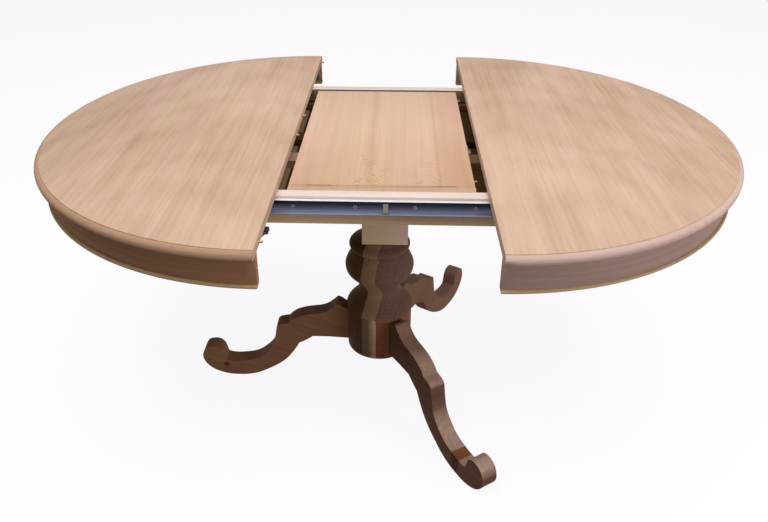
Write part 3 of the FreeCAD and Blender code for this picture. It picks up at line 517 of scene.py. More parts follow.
HEART_STREAKS = ((-0.030, 0.014), (0.122, 0.007))


def add_arches(material):
    """Darken a veneer along the strokes of its arches."""
    tree = material.node_tree
    spot = own_spot(tree)
    for peak, slope, reach, rings, strength in ARCHES:
        arch = place_group(tree, ARCH, {"Vector": spot, "Peak": peak, "Slope": slope,
                                        "Reach": reach, "Rings": rings})
        share = calc(tree, "MULTIPLY", arch.outputs["Mask"], strength)
        shade_where(material, share, STROKE_SHADE)


add_arches(veneer_leaf)
for sheet in (veneer_leaf, guard_wood):
    tint_zone(sheet, ALONG_Y, 0.06, -0.29, LEAF_FRONT_SHADE)
# Painted light: the guard is lightened towards the leaf, against the shade in the joint.
tint_zone(guard_wood, ALONG_Y, -0.310, -0.294, GUARD_JOINT_PAINTED_LIGHT)
tint_zone(veneer_leaf, ALONG_X, 0.11, 0.14, LEAF_RIGHT_SHADE)
# Painted shade: the far left of the left top is darkened, away from the right lamp.
tint_zone(veneer_left, ALONG_X, -0.35, -0.80, LEFT_RIM_PAINTED_SHADE)
for middle, half in HEART_STREAKS:
    tint_band(veneer_leaf, ALONG_X, (middle - half, middle), (middle, middle + half), HEART_SHADE)
print("veneers", veneer_left.name, veneer_right.name, veneer_leaf.name)

# %% [markdown]
# Solid oak round the rim differs from the veneer. The two halves get their own copies of each
# wood, and these differ by painted light: the right half's are paler and pinker, as painted
# light from the right, and the left half's darker and browner, as painted shade. The apron is
# bent from thin plies; its darker tone is painted shade under the edge of the top. The strip
# glued under it is a paler, yellower wood. A row gives a piece's light and dark tone on the
# left half, then on the right half, and the radius of its bend.

# %% Bent rim woods
RIM = {"Heart": 0.3, "Lean": 0.02, "Wander": 0.02, "Rings": 90.0, "Ring Amount": 0.12,
       "Fibre": 0.6, "Drift": 0.5, "Pore": 0.25}
BEAD_TONES = ((196, 170, 134), (170, 142, 106))
# The left and right tones differ by painted light and shade; the apron's tones carry painted shade.
RIM_ROWS = (
    ("edge_lipping", "rim_oak", ((200, 164, 136), (168, 128, 100)),
     ((218, 189, 178), (188, 156, 144)), 0.6),
    ("apron", "apron_oak", ((178, 134, 102), (146, 104, 76)),
     ((186, 158, 147), (158, 130, 119)), 0.58),
    ("apron_bead", "bead_wood", BEAD_TONES, BEAD_TONES, 0.585))
RIM_WOODS = {}
for side, half, cut in ((0, "left", LEFT_CUT), (1, "right", RIGHT_CUT)):
    for piece, wood_name, *tones, radius in RIM_ROWS:
        light, dark = tones[side]
        RIM_WOODS[f"{half}_{piece}"] = plain_wood(
            f"{wood_name}_{half}", srgb(*light), srgb(*dark), figure=RIM, bend=(cut, radius))
print("rim woods", sorted(RIM_WOODS))

# %% [markdown]
# The fixed frame is pale softwood, left rough from the saw. The inside faces of its rails carry
# painted shade. In front below the slide a rail is browner, partly from its sawn, dusty face
# and partly as painted shade, and a dark line of painted shadow lies under the slide's lower
# edge. The floor of the well is a paler board with painted shadow on all but its left margin.
# The back beam and the right halves of both beams carry painted shade.

# %% Frame woods
SAWN = {"Heart": 0.05, "Lean": 0.02, "Wander": 0.02, "Rings": 130.0, "Ring Amount": 0.25,
        "Fibre": 0.4, "Drift": 0.4, "Pore": 0.08}
FRAME_ROWS = (
    ("rail_wood", (240, 224, 216), (224, 202, 186), GRAIN_X),
    ("runner_wood", (150, 116, 86), (112, 82, 58), GRAIN_X),
    ("cross_wood", (140, 106, 78), (104, 76, 52), GRAIN_Y),
    ("floor_board", (198, 168, 136), (172, 140, 112), GRAIN_Y),
    ("ledge_wood", (132, 92, 64), (108, 72, 48), GRAIN_X),
    ("beam_wood", (222, 192, 160), (190, 158, 128), GRAIN_X),
    ("dowel_wood", (206, 180, 142), (180, 152, 112), GRAIN_X))
rail_wood, runner_wood, cross_wood, floor_board, ledge_wood, beam_wood, dowel_wood = (
    plain_wood(name, srgb(*light), srgb(*dark), turn=turn, figure=SAWN)
    for name, light, dark, turn in FRAME_ROWS)
RAIL_INNER = -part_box("front_rail")[1][1]
SLIDE_FOOT = SLIDE_LOW[2]
RAIL_INSIDE_PAINTED_SHADE = (0.30, 0.22, 0.16, 1)
RAIL_FOOT_DUST_AND_SHADE = (1.0, 0.87, 0.69, 1)
SLIDE_PAINTED_SHADOW = (0.36, 0.32, 0.28, 1)
FLOOR_PAINTED_SHADOW = (0.22, 0.15, 0.09, 1)
BACK_BEAM_PAINTED_SHADE = (0.17, 0.13, 0.09, 1)
BEAM_RIGHT_PAINTED_SHADE = (0.50, 0.40, 0.32, 1)
# Painted shade on the inside faces of the rails.
tint_zone(rail_wood, ALONG_Y, RAIL_INNER + 0.0012, RAIL_INNER + 0.0006, RAIL_INSIDE_PAINTED_SHADE,
          both_sides=True)
# Browner below the slide: partly painted shade under the channel, partly the sawn, dusty face.
tint_zone(rail_wood, ALONG_Z, SLIDE_FOOT + 0.002, SLIDE_FOOT - 0.001, RAIL_FOOT_DUST_AND_SHADE)
# A painted shadow line just under the slide's lower edge.
tint_band(rail_wood, ALONG_Z, (SLIDE_FOOT - 0.0055, SLIDE_FOOT - 0.001),
          (SLIDE_FOOT + 0.004, SLIDE_FOOT + 0.006), SLIDE_PAINTED_SHADOW)
# Painted shadow on the well floor, on all but its left margin.
tint_zone(floor_board, ALONG_X, -0.2245, -0.2222, FLOOR_PAINTED_SHADOW)
# Painted shade on the back beam and on the right halves of both beams.
tint_zone(beam_wood, ALONG_Y, 0.0, 0.01, BACK_BEAM_PAINTED_SHADE)
tint_zone(beam_wood, ALONG_X, 0.0, 0.01, BEAM_RIGHT_PAINTED_SHADE)
print("frame woods", [row[0] for row in FRAME_ROWS])

# %% [markdown]
# A turning tool leaves faint rings round the work, each a little scraped or burnished. Noise
# that reads height alone gives rings of uneven width.

# %% Lathe mark group
LATHE_REPEATS = (3.0, 3.0, 260.0)
LATHE_DETAIL = 3.0
SCRAPE_START, SCRAPE_FULL = 0.50, 0.85


def build_lathe_marks():
    tree, given, result = start_group("lathe_marks", {"Vector": (0, 0, 0)}, Height="Float",
                                      Shade="Float")
    marks = noise(tree, stretched(tree, given["Vector"], LATHE_REPEATS), LATHE_DETAIL)
    shade = share_between(tree, marks, SCRAPE_START, SCRAPE_FULL)
    plug_in(tree, result, {"Height": marks, "Shade": shade})
    return tree


LATHE_MARKS = build_lathe_marks()
print("lathe mark group", len(LATHE_MARKS.nodes), "nodes")

# %% [markdown]
# The pedestal is glued up from staves of mixed tint that run at a slant through the column.
# A constant colour ramp over the slanted coordinate gives each stave its own wood, and the
# stave group draws the glue lines.

# %% Stave woods
STAVE_WIDTH = 0.0405
STAVE_START = -0.0095
STAVE_SLANT = math.radians(-25.3)
BEECH = {"Heart": 0.06, "Lean": 0.05, "Wander": 0.02, "Rings": 140.0, "Ring Amount": 0.22,
         "Fibre": 0.55, "Drift": 0.6, "Pore": 0.25}
BEECH_DARK = (0.70, 0.66, 0.62, 1)
GLUE_SHADE = (0.62, 0.55, 0.48, 1)
LATHE_SHADE = (0.72, 0.68, 0.64, 1)
LATHE_BUMP = {"Strength": 0.35, "Distance": 0.0006}


def stave_wood(name, tints, middle, dark=BEECH_DARK, slant=STAVE_SLANT, glue_line=0.0005,
               turned_work=True):
    """Glued-up wood: the figure is multiplied by each stave's tint and darkened at the joints."""
    material = plain_wood(name, WHITE, dark, turn=GRAIN_Z, figure=BEECH)
    tree, shader, figure = open_material(material)
    spot = own_spot(tree)
    moved = add_node(tree, "Mapping", {"Vector": spot, "Location": (-middle, 0, 0)}).outputs[0]
    place = add_node(tree, "SeparateXYZ", {0: turned(tree, moved, (0, 0, -slant))}).outputs["X"]
    half_span = STAVE_WIDTH * len(tints) / 2
    span_middle = STAVE_START + STAVE_WIDTH / 2
    spread = share_between(tree, place, span_middle - half_span, span_middle + half_span)
    stops = [(index / len(tints), tint) for index, tint in enumerate(tints)]
    tinted = multiplied(tree, figure, colour_ramp(tree, spread, stops, way="CONSTANT"))
    joint = place_group(tree, STAVES, {"Place": place, "Width": STAVE_WIDTH,
                                       "Start": STAVE_START, "Glue Line": glue_line}).outputs[0]
    wood = multiplied(tree, tinted, GLUE_SHADE, joint)
    if turned_work:
        marks = place_group(tree, LATHE_MARKS, {"Vector": spot}).outputs
        wood = multiplied(tree, wood, LATHE_SHADE, marks["Shade"])
        rings = add_node(tree, "Bump", {"Height": marks["Height"], **LATHE_BUMP,
                                        "Normal": tree.nodes["Bump"].outputs[0]})
        plug_in(tree, shader, {"Normal": rings.outputs[0]})
    plug_in(tree, shader, {"Base Color": wood})
    return material


# The column's dark stave tint is partly darker wood, partly painted shade on the column's left
# side.
DARK_STAVE_AND_SHADE, OLIVE, BROWN = srgb(108, 77, 45), srgb(168, 138, 112), srgb(132, 102, 90)
RED, CREAM = srgb(160, 104, 80), srgb(236, 200, 166)
DRUM_LEFT_PAINTED_SHADE = (0.30, 0.29, 0.25, 1)
column_wood = stave_wood("column_wood", (DARK_STAVE_AND_SHADE, DARK_STAVE_AND_SHADE, OLIVE, BROWN, BROWN), AXIS_X)
drum_wood = stave_wood("drum_wood", (RED, RED, CREAM, RED, RED), AXIS_X)
# Painted shade on the drum's left side.
tint_zone(drum_wood, ALONG_X, AXIS_X - 0.01, AXIS_X - 0.03, DRUM_LEFT_PAINTED_SHADE)
print("stave woods", column_wood.name, drum_wood.name)

# %% [markdown]
# A knot shows as a round dark spot on a sawn face, or as a band with a sharp edge where it runs
# through the whole plank. The group takes the way from the knot's middle in the leg's own
# directions, weighs each direction, lets noise ruffle the length, and gives a mask.

# %% Knot group
KNOT_SHADE = srgb(140, 84, 44)
RUFFLE_REPEATS, RUFFLE_DETAIL, RUFFLE_WIDTH = 70.0, 2.0, 0.006
KNOT_EDGE, KNOT_CORE, KNOT_STRENGTH = 1.08, 0.9, 0.9


def build_knot():
    tree, given, result = start_group(
        "knot", {"Way": (0, 0, 0), "Weights": (1, 1, 1), "Size": 0.01}, Mask="Float")
    weighed = stretched(tree, given["Way"], given["Weights"])
    reach = add_node(tree, "VectorMath", {0: weighed}, operation="LENGTH").outputs["Value"]
    ruffle = swing(tree, noise(tree, given["Way"], RUFFLE_DETAIL, scale=RUFFLE_REPEATS))
    ragged = calc(tree, "MULTIPLY_ADD", ruffle, RUFFLE_WIDTH, reach)
    share = calc(tree, "DIVIDE", ragged, given["Size"])
    mask = share_between(tree, share, KNOT_EDGE, KNOT_CORE, top=KNOT_STRENGTH)
    plug_in(tree, result, {"Mask": mask})
    return tree


KNOT = build_knot()
print("knot group", len(KNOT.nodes), "nodes")

# %% [markdown]
# The neck block is planed square and comes from two paler pieces, the right one pinker. The
# legs are sawn from planks whose grain follows the leg, so each leg's material is turned with
# it: the grain runs out along the leg and dips towards the toe. The material reads which way
# the surface faces and paints shade by it: a leg's sides carry painted shade, the front leg's
# most, and so does the left leg's top. A knot on the sides has that painted shade in its tone.
# The front leg has painted shade where it leaves the drum.

# %% Block and leg woods
PALE, PINK = srgb(244, 216, 181), srgb(244, 214, 196)
BLOCK_MIDDLE = 0.0115
BLOCK_DARK = (0.94, 0.93, 0.91, 1)
block_wood = stave_wood("block_wood", (PALE, PALE, PINK, PINK), BLOCK_MIDDLE, dark=BLOCK_DARK,
                        slant=0.0, glue_line=0.0, turned_work=False)
LEG_DIP = math.radians(-22)
LEG_FIGURE = {"Heart": 0.06, "Lean": 0.08, "Wander": 0.03, "Rings": 60.0, "Ring Amount": 0.12,
              "Fibre": 0.5, "Drift": 0.7, "Pore": 0.3}
SIDE_LIMIT, TOP_LIMIT = 0.15, 0.75


def leg_wood(name, turn, light, dark, side_painted_shade, knot, knot_size, knot_and_side_shade, top_painted_shade=WHITE,
             knot_weights=(1, 1, 1)):
    """Plank wood with a knot; its grain leaves the column along a leg and dips to the toe."""
    material = plain_wood(name, light, dark, figure=LEG_FIGURE)
    tree, shader, figure = open_material(material)
    outward = figure.node.inputs["Vector"].links[0].from_node
    outward.inputs["Rotation"].default_value = (0, 0, -turn)
    dipped = turned(tree, outward.outputs[0], (0, -LEG_DIP, 0))
    plug_in(tree, figure.node, {"Vector": turned(tree, dipped, (0, 0, math.pi / 2))})
    own = add_node(tree, "TexCoord").outputs
    faces_up = place_group(tree, ZONE, {"Vector": own["Normal"], "Low": SIDE_LIMIT,
                                        "High": TOP_LIMIT}).outputs["Mask"]
    # The sides and, on the left leg, the top carry painted shade, chosen by which way they face.
    plank_in_painted_shade = blend_colours(tree, faces_up, multiplied(tree, figure, side_painted_shade),
                          multiplied(tree, figure, top_painted_shade))
    way = add_node(tree, "Mapping", {"Vector": own["Object"], "Location": knot,
                                     "Rotation": (0, 0, turn)}, vector_type="TEXTURE").outputs[0]
    patch = place_group(tree, KNOT, {"Way": way, "Weights": knot_weights, "Size": knot_size})
    # A knot's colour on the sides has the side's painted shade in it; the front leg's is darkest.
    dark_patch = blend_colours(tree, faces_up, knot_and_side_shade, KNOT_SHADE)
    plug_in(tree, shader, {
        "Base Color": blend_colours(tree, patch.outputs["Mask"], plank_in_painted_shade, dark_patch)})
    return material


LEG_WOODS = {
    "left_leg": leg_wood(
        "left_leg_wood", math.pi, srgb(180, 138, 110), srgb(138, 98, 74),
        side_painted_shade=(0.86, 0.80, 0.74, 1), top_painted_shade=(0.64, 0.58, 0.53, 1),
        knot=(-0.458, -0.021, 0.0365), knot_size=0.009, knot_and_side_shade=srgb(116, 52, 32)),
    "front_leg": leg_wood(
        "front_leg_wood", math.radians(-58), srgb(202, 170, 152), srgb(154, 118, 99),
        side_painted_shade=(0.29, 0.21, 0.165, 1), knot=(0.188, -0.351, 0.044), knot_size=0.015,
        knot_and_side_shade=srgb(50, 18, 6), knot_weights=(1, 0, 0.3)),
    "back_leg": leg_wood(
        "back_leg_wood", math.pi / 3, srgb(176, 142, 122), srgb(132, 100, 82),
        side_painted_shade=(0.82, 0.74, 0.68, 1), knot=(0.30, 0.45, 0.02), knot_size=0.008,
        knot_and_side_shade=srgb(84, 44, 28)),
}
LEG_ROOT_PAINTED_SHADE = (0.68, 0.62, 0.56, 1)
# Painted shade on the front leg where it leaves the drum.
tint_zone(LEG_WOODS["front_leg"], ALONG_Y, -0.19, -0.155, LEG_ROOT_PAINTED_SHADE)
print("leg woods", sorted(LEG_WOODS))

# %% [markdown]
# Slides are bright zinc-plated steel with fine lengthwise drawing marks; plating looks mottled
# up close. The channel's inside is painted with shade and reflection: dark under the upper lip,
# paling to a dull painted reflection on the lower lip, with a thin painted shadow at its foot.
# The top of the upper lip is a dull, nearly white painted highlight. So one ramp over the height
# tints the metal and another says where it shines. The locks are lacquered black. The screws
# are darker steel.

# %% Metals
DRAWING_MARKS = (3.0, 260.0, 260.0)
EVEN_MARKS = (60.0, 60.0, 60.0)
METAL_DETAIL = 3.0
MARK_SWING = 0.18
MOTTLE_SWING, MOTTLE_REPEATS, MOTTLE_SHADE = 0.22, 45.0, 0.84
METAL_BUMP = {"Strength": 0.12, "Distance": 0.0002}


def drawn_metal(name, colour, roughness, metallic=1.0, streak=DRAWING_MARKS):
    """Metal with drawing marks along X and a faint mottle in its roughness."""
    material, tree, shader = new_material(name)
    spot = own_spot(tree)
    drawn = add_node(tree, "Mapping", {"Vector": spot, "Scale": streak}).outputs[0]
    marks = noise(tree, drawn, METAL_DETAIL)
    mottle = noise(tree, spot, METAL_DETAIL, scale=MOTTLE_REPEATS)
    rough = calc(tree, "MULTIPLY_ADD", swing(tree, marks), MARK_SWING, roughness)
    rough = calc(tree, "MULTIPLY_ADD", swing(tree, mottle), MOTTLE_SWING, rough)
    duller = tuple(value * MOTTLE_SHADE for value in colour[:3]) + (1.0,)
    bump = add_node(tree, "Bump", {"Height": marks, **METAL_BUMP})
    plug_in(tree, shader, {"Roughness": rough, "Metallic": metallic, "Normal": bump.outputs[0],
                           "Base Color": blend_colours(tree, mottle, colour, duller)})
    return material


DULL = (0.15, 0.15, 0.15, 1)
# Painted light over the channel's height: shadow at its foot, a pale reflection on the lower lip,
# shade under the upper lip, a white highlight on top.
CHANNEL_PAINTED_LIGHT = ((0.03, srgb(84, 74, 64)), (0.07, srgb(190, 193, 212)), (0.22, srgb(172, 178, 204)),
                (0.34, srgb(90, 92, 106)), (0.62, srgb(48, 51, 62)), (0.88, srgb(26, 30, 38)),
                (0.95, srgb(26, 31, 40)), (0.965, WHITE))
SHINE = ((0.10, DULL), (0.32, WHITE), (0.955, WHITE), (0.965, DULL))


def painted_light_channel(name, low, high):
    """Zinc with painted shade and reflection inside and a painted highlight on top, dull on both
    lips.
    """
    material = drawn_metal(name, srgb(240, 241, 246), 0.34)
    tree, shader, plain = open_material(material)
    level = add_node(tree, "SeparateXYZ", {0: own_spot(tree)}).outputs["Z"]
    rise = share_between(tree, level, low, high)
    painted_light = colour_ramp(tree, rise, CHANNEL_PAINTED_LIGHT)
    plug_in(tree, shader, {"Base Color": multiplied(tree, plain, painted_light),
                           "Metallic": colour_ramp(tree, rise, SHINE)})
    return material


channel_zinc = painted_light_channel("channel_zinc", SLIDE_FOOT, SLIDE_HIGH[2])
zinc = drawn_metal("slide_zinc", srgb(206, 208, 216), 0.32)
screw_zinc = drawn_metal("screw_zinc", srgb(132, 136, 148), 0.30, streak=EVEN_MARKS)
hinge_steel = drawn_metal("hinge_steel", srgb(190, 180, 160), 0.38)
stop_plastic = drawn_metal("stop_block", srgb(176, 174, 164), 0.55, metallic=0.0)
latch_steel = drawn_metal("latch_steel", srgb(128, 116, 126), 0.25)
lock_black = drawn_metal("lock_lacquer", srgb(34, 34, 38), 0.42, metallic=0.0)
print("metals ready")

# %% [markdown]
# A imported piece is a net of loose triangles. A copy of it, merged and with its flat areas
# joined, can be worked on: its sharp edges get the small rounding that sandpaper leaves, and
# its curves are shaded smoothly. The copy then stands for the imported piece. The guard strip
# keeps its sharp edges; its back edge and its top move a little to close the joint to the leaf.

# %% Eased copies
MERGE_DISTANCE = 1e-5
FLAT_ANGLE = math.radians(0.4)
SHARP_ANGLE = math.radians(35.0)


def finish_piece(name, shape, material, body, angle=32.0):
    """Turn a bmesh into a finished object that rides on a body."""
    mesh = bpy.data.meshes.new(name)
    shape.to_mesh(mesh)
    shape.free()
    mesh.shade_smooth()
    mesh.set_sharp_from_angle(angle=math.radians(angle))
    mesh.materials.append(material)
    piece = bpy.data.objects.new(name, mesh)
    bpy.context.scene.collection.objects.link(piece)
    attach(piece, body)
    return piece


def merged_shape(node):
    """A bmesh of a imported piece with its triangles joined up."""
    shape = bmesh.new()
    shape.from_mesh(frame["nodes"][node].data)
    bmesh.ops.remove_doubles(shape, verts=shape.verts, dist=MERGE_DISTANCE)
    bmesh.ops.dissolve_limit(shape, angle_limit=FLAT_ANGLE, verts=shape.verts, edges=shape.edges)
    return shape


def eased_copy(node, material, width=0.0, segments=2):
    """A merged copy of a node with its sharp edges rounded by a width."""
    shape = merged_shape(node)
    if width > 0:
        sharp = [edge for edge in shape.edges
                 if len(edge.link_faces) == 2 and edge.calc_face_angle() > SHARP_ANGLE]
        bmesh.ops.bevel(shape, geom=sharp, offset=width, segments=segments, profile=0.5,
                        affect="EDGES", material=-1, clamp_overlap=True)
    piece = finish_piece(f"{node}_eased", shape, material, BODY_OF[node])
    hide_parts(node)
    return piece


for node, wood in RIM_WOODS.items():
    eased_copy(node, wood, 0.0008 if node.endswith("apron") else 0.0)
for node, wood in LEG_WOODS.items():
    eased_copy(node, wood, 0.0022, segments=3)
eased_copy("leg_drum", drum_wood, 0.0015)
eased_copy("neck_block", block_wood, 0.0022, segments=3)
for node in ("front_rail", "back_rail"):
    eased_copy(node, rail_wood, 0.0014)
guard = eased_copy("front_leaf_ledge", guard_wood, 0.0)
JOINT_SHARE = 0.0009
TOP_SHARE = 0.0008
SAME_PLACE = 1e-4
guard_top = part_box("front_leaf_ledge")[1][2] - SAME_PLACE
guard_back = max(corner.co.y for corner in guard.data.vertices if corner.co.z > guard_top)
for corner in guard.data.vertices:
    if abs(corner.co.y - guard_back) < SAME_PLACE:
        corner.co.y += JOINT_SHARE
    if corner.co.z > guard_top:
        corner.co.z += TOP_SHARE
eased_copy("back_leaf_ledge", ledge_wood, 0.001)
for node in ("leaf_lower_board", "leaf_upper_board"):
    eased_copy(node, veneer_leaf, 0.0002)

# %% [markdown]
# The column is turned between centres, so it is spun here as it is on the lathe: a chain of
# edges along its outline swept once round the axis. The outline has a bead, a ball, a waist
# and a vase that meets the drum at its widest part.

# %% Turned column
BEAD_CURVE = ((22, 502), (43, 485), (63.5, 467), (78, 456.5), (81.3, 448.5), (76.5, 440.5),
              (67, 437))
BALL_CURVE = ((67, 437), (74.5, 429), (81.5, 416), (88, 403), (92.5, 387), (88.5, 368), (73, 350))
NECK_CURVE = ((73, 350), (60, 332), (54.3, 317), (57, 304), (67, 290), (80, 275.5),
              (88.5, 264.5), (91, 257))
BORE = 5
CURVE_STEPS = 5


def flowing_line(points):
    """Points of a smooth line through the given ones."""
    knots = [Vector(point) for point in points]
    knots = [knots[0] * 2 - knots[1]] + knots + [knots[-1] * 2 - knots[-2]]
    line = []
    for before, start, end, after in zip(knots, knots[1:], knots[2:], knots[3:]):
        leave = (end - before) / 6
        arrive = (after - start) / 6
        line += interpolate_bezier(start, start + leave, end - arrive, end, CURVE_STEPS + 1)[:-1]
    return line + [knots[-2]]


COLUMN_OUTLINE = [(BORE, BEAD_CURVE[0][1])]
for curve in (BEAD_CURVE, BALL_CURVE, NECK_CURVE):
    COLUMN_OUTLINE += [tuple(point) for point in flowing_line(curve)]
COLUMN_OUTLINE += [(BORE, NECK_CURVE[-1][1])]


def turned_piece(outline, axis_x, steps=96):
    """Spin an outline of (radius, height) in millimetres about an upright axis."""
    shape = bmesh.new()
    points = [shape.verts.new((axis_x + radius / 1000, 0.0, height / 1000))
              for radius, height in outline]
    edges = [shape.edges.new(pair) for pair in zip(points, points[1:] + points[:1])]
    bmesh.ops.spin(shape, geom=points + edges, cent=(axis_x, 0, 0), axis=ALONG_Z,
                   angle=math.tau, steps=steps, use_merge=True)
    bmesh.ops.remove_doubles(shape, verts=shape.verts, dist=1e-6)
    bmesh.ops.recalc_face_normals(shape, faces=shape.faces)
    return shape


column = finish_piece("column_turned", turned_piece(COLUMN_OUTLINE, AXIS_X), column_wood, "base",
                      angle=50.0)
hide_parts("column")
print("column faces", len(column.data.polygons))

# %% [markdown]
# A slide channel is rolled from strip: its two lips turn back towards each other as the race
# for the balls, and a shallow rib stiffens its web. The section is drawn as a chain of points
# on one end and extruded along the slide; a bevel rounds every fold.

# %% Rolled channels
CHANNEL_STRIP = 0.0015
CHANNEL_LIP = 0.0085
LIP_RETURN = 0.0022
RIB_HEIGHT = 0.0012
RIB_HALF, RIB_FLAT_HALF = 0.009, 0.007


def folded_strip(points, thick, start_x, length, fold=0.0008):
    """A folded strip along X: a ribbon through (y, z) points, given its thickness."""
    shape = bmesh.new()
    chain = [shape.verts.new((start_x, y, z)) for y, z in points]
    edges = [shape.edges.new(pair) for pair in zip(chain, chain[1:])]
    swept = bmesh.ops.extrude_edge_only(shape, edges=edges)["geom"]
    moved = [item for item in swept if isinstance(item, bmesh.types.BMVert)]
    bmesh.ops.translate(shape, verts=moved, vec=(length, 0, 0))
    inner = [edge for edge in shape.edges if len(edge.link_faces) == 2]
    bmesh.ops.bevel(shape, geom=inner, offset=fold, segments=3, profile=0.5, affect="EDGES",
                    material=-1, clamp_overlap=True)
    bmesh.ops.recalc_face_normals(shape, faces=shape.faces)
    bmesh.ops.solidify(shape, geom=shape.faces[:], thickness=thick)
    bmesh.ops.recalc_face_normals(shape, faces=shape.faces)
    return shape


def channel_points(end):
    """Half way through the metal, from the upper lip round the web to the lower lip."""
    half = CHANNEL_STRIP / 2
    web = RAIL_OUTER + half
    tip = web + CHANNEL_LIP
    high = SLIDE_HIGH[2] - half
    low = SLIDE_LOW[2] + half
    rib = web + RIB_HEIGHT
    outline = [(tip, high - LIP_RETURN), (tip, high), (web, high), (web, SLIDE_MID + RIB_HALF),
               (rib, SLIDE_MID + RIB_FLAT_HALF), (rib, SLIDE_MID - RIB_FLAT_HALF),
               (web, SLIDE_MID - RIB_HALF), (web, low), (tip, low), (tip, low + LIP_RETURN)]
    return [(end * y, z) for y, z in outline]


for end_name, end in (("front", -1), ("back", 1)):
    strip = folded_strip(channel_points(end), CHANNEL_STRIP, SLIDE_LOW[0],
                         SLIDE_HIGH[0] - SLIDE_LOW[0])
    channel = finish_piece(f"{end_name}_rolled_channel", strip, channel_zinc, "base", angle=25.0)
    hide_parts(f"{end_name}_slide_channel")
    print(end_name, "channel", len(channel.data.polygons), "faces")

# %% [markdown]
# Screw heads are low domes with a recess. Each starts as half a ball pressed flat; the points
# round its middle are pushed down, and a tapered shank is set under it.

# %% Screws
SCREW_HEAD = 0.0042
DOME_FLATNESS = 0.42
RECESS_SHARE, RECESS_DEPTH = 0.45, 0.0011
SHANK_TIP, SHANK_ROOT, SHANK_LENGTH = 0.0010, 0.0018, 0.016
SEAT_LIFT = 0.0012


def screw_shape(seat, direction):
    """A domed head with a round recess on a short shank, lying along Y."""
    shape = bmesh.new()
    bmesh.ops.create_uvsphere(shape, u_segments=16, v_segments=8, radius=SCREW_HEAD)
    bmesh.ops.bisect_plane(shape, geom=shape.verts[:] + shape.edges[:] + shape.faces[:],
                           plane_co=(0, 0, 0), plane_no=(0, 0, -1), clear_outer=True)
    for vert in shape.verts:
        vert.co.z *= DOME_FLATNESS
    rim = [edge for edge in shape.edges if len(edge.link_faces) == 1]
    bmesh.ops.holes_fill(shape, edges=rim)
    for vert in shape.verts:
        if vert.co.z > 0 and math.hypot(vert.co.x, vert.co.y) < SCREW_HEAD * RECESS_SHARE:
            vert.co.z -= RECESS_DEPTH
    shank = bmesh.ops.create_cone(shape, cap_ends=True, segments=10, radius1=SHANK_TIP,
                                  radius2=SHANK_ROOT, depth=SHANK_LENGTH)
    bmesh.ops.translate(shape, verts=shank["verts"], vec=(0, 0, -SHANK_LENGTH / 2))
    turn = Matrix.Rotation(direction * math.pi / 2, 4, "X")
    bmesh.ops.transform(shape, matrix=Matrix.Translation(seat) @ turn, verts=shape.verts)
    bmesh.ops.recalc_face_normals(shape, faces=shape.faces)
    return shape


def join_shapes(shapes):
    """One bmesh from several."""
    whole = bmesh.new()
    for shape in shapes:
        loose = bpy.data.meshes.new("loose")
        shape.to_mesh(loose)
        shape.free()
        whole.from_mesh(loose)
        bpy.data.meshes.remove(loose)
    return whole


SLIDE_SCREW_X = (-0.182, -0.054, 0.068, 0.191)
seat_y = RAIL_OUTER + CHANNEL_STRIP + SEAT_LIFT
seats = [(x, end) for x in SLIDE_SCREW_X for end in (-1, 1)]
screws = join_shapes([screw_shape((x, end * seat_y, SLIDE_MID), -end) for x, end in seats])
slide_screws = finish_piece("slide_screws_crossed", screws, screw_zinc, "base")
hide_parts("slide_screws")
print("slide screws", len(seats))

# %% [markdown]
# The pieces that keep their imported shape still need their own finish. One table says which
# material each of them takes.

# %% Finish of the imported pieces
PACKED_FINISH = (
    (veneer_left, "left_top_board"), (veneer_right, "right_top_board"),
    (cross_wood, "left_cross_bearer right_cross_bearer left_cross_batten right_cross_batten"),
    (beam_wood, "centre_beams"), (floor_board, "well_floor"), (runner_wood, "mounting_board"),
    (dowel_wood, "left_alignment_dowels leaf_lower_dowels leaf_upper_dowels leg_dowels"),
    (latch_steel, "leaf_latch_plate"), (stop_plastic, "slide_stops"),
    (hinge_steel, "leaf_lower_hinge_plates leaf_upper_hinge_plates"),
    (screw_zinc, "tie_rod tie_nuts left_runner_screws right_runner_screws"),
    (screw_zinc, "left_slide_balls right_slide_balls"),
    (lock_black, "lock_bodies lock_keepers front_lock_lever back_lock_lever"),
    (runner_wood, "left_front_runner left_back_runner right_front_runner right_back_runner"),
    (zinc, "left_front_slide_member left_back_slide_member right_front_slide_member"),
    (zinc, "right_back_slide_member left_front_ball_cage left_back_ball_cage"),
    (zinc, "right_front_ball_cage right_back_ball_cage"),
)
finished = 0
for material, nodes in PACKED_FINISH:
    for node in nodes.split():
        mesh = frame["nodes"][node].data
        mesh.materials.clear()
        mesh.materials.append(material)
        finished += 1
print("packed pieces finished", finished)

# %% [markdown]
# The studio is a pale floor under soft light. To the camera the floor is near white and keeps
# a faint shadow; to the rest of the scene it is an ordinary pale floor. A large soft lamp over
# the table and a weaker one at the right give the tops their even light and the right apron
# its sheen.

# %% Studio
FLOOR_WIDTH = 40.0
FLOOR_GLOW, GLOW_STRENGTH = (1.0, 0.978, 1.0, 1), 0.91
SHADOW_GREY = (0.16, 0.16, 0.16, 1)
PLAIN_FLOOR = (0.36, 0.31, 0.26, 1)
SKY, SKY_STRENGTH = (0.95, 0.97, 1.0, 1), 0.22
BACKDROP, BACKDROP_STRENGTH = (1.0, 0.99, 1.0, 1), 1.0


def clear_view(tree):
    """1 for rays from the camera, straight or by way of a shiny or clear piece."""
    seen = add_node(tree, "LightPath").outputs
    clear = calc(tree, "MAXIMUM", seen["Is Camera Ray"], seen["Is Glossy Ray"])
    return calc(tree, "MAXIMUM", clear, seen["Is Transmission Ray"])


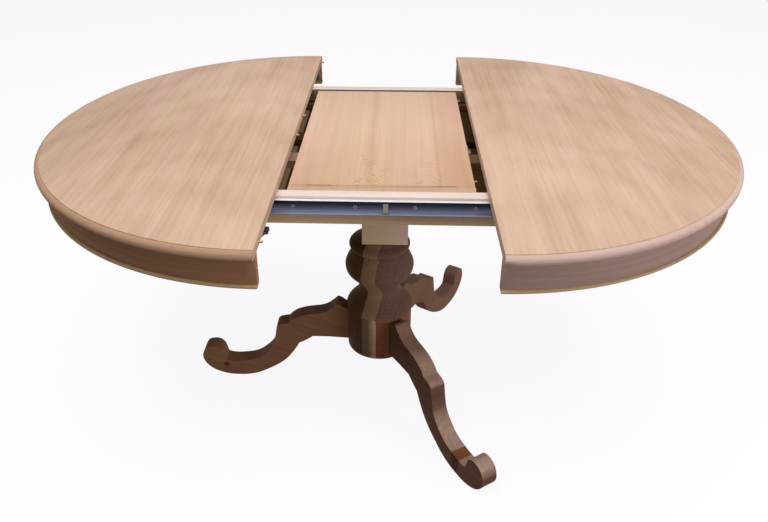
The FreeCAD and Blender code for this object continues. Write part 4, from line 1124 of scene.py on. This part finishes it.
def build_floor():
    bpy.ops.mesh.primitive_plane_add(size=FLOOR_WIDTH, location=(0, 0, 0))
    floor = bpy.context.object
    floor.name = "studio_floor"
    material = bpy.data.materials.new("studio_floor")
    material.use_nodes = True
    tree = material.node_tree
    tree.nodes.clear()
    shadowed = add_node(tree, "BsdfDiffuse", {"Color": SHADOW_GREY}).outputs[0]
    glow = add_node(tree, "Emission", {"Color": FLOOR_GLOW, "Strength": GLOW_STRENGTH}).outputs[0]
    bright = add_node(tree, "AddShader", {0: shadowed, 1: glow}).outputs[0]
    plain = add_node(tree, "BsdfDiffuse", {"Color": PLAIN_FLOOR}).outputs[0]
    both = add_node(tree, "MixShader", {0: clear_view(tree), 1: plain, 2: bright}).outputs[0]
    add_node(tree, "OutputMaterial", {"Surface": both})
    floor.data.materials.append(material)


def build_world():
    world = bpy.data.worlds.new("studio_world")
    bpy.context.scene.world = world
    world.use_nodes = True
    tree = world.node_tree
    tree.nodes.clear()
    soft, white = (add_node(tree, "Background", {"Color": colour, "Strength": strength}).outputs[0]
                   for colour, strength in ((SKY, SKY_STRENGTH), (BACKDROP, BACKDROP_STRENGTH)))
    both = add_node(tree, "MixShader", {0: clear_view(tree), 1: soft, 2: white}).outputs[0]
    add_node(tree, "OutputWorld", {"Surface": both})


def build_lamp(name, place, target, size, power, colour=(1, 1, 1)):
    lamp = bpy.data.lights.new(name, "AREA")
    lamp.shape = "RECTANGLE"
    lamp.size, lamp.size_y = size
    lamp.energy = power
    lamp.color = colour
    item = bpy.data.objects.new(name, lamp)
    item.location = place
    item.rotation_euler = (Vector(target) - Vector(place)).to_track_quat("-Z", "Y").to_euler()
    bpy.context.scene.collection.objects.link(item)


build_floor()
build_world()
build_lamp("overhead_softbox", (0.0, -0.6, 3.0), (0.0, 0.0, 0.7), (3.0, 2.2), 61.0)
build_lamp("right_softbox", (2.9, -1.9, 1.2), (0.3, 0.0, 0.6), (1.6, 1.2), 37.0, (1.0, 0.97, 0.98))
print("studio ready")

# %% Piece count
print("pieces", len(frame["nodes"]))
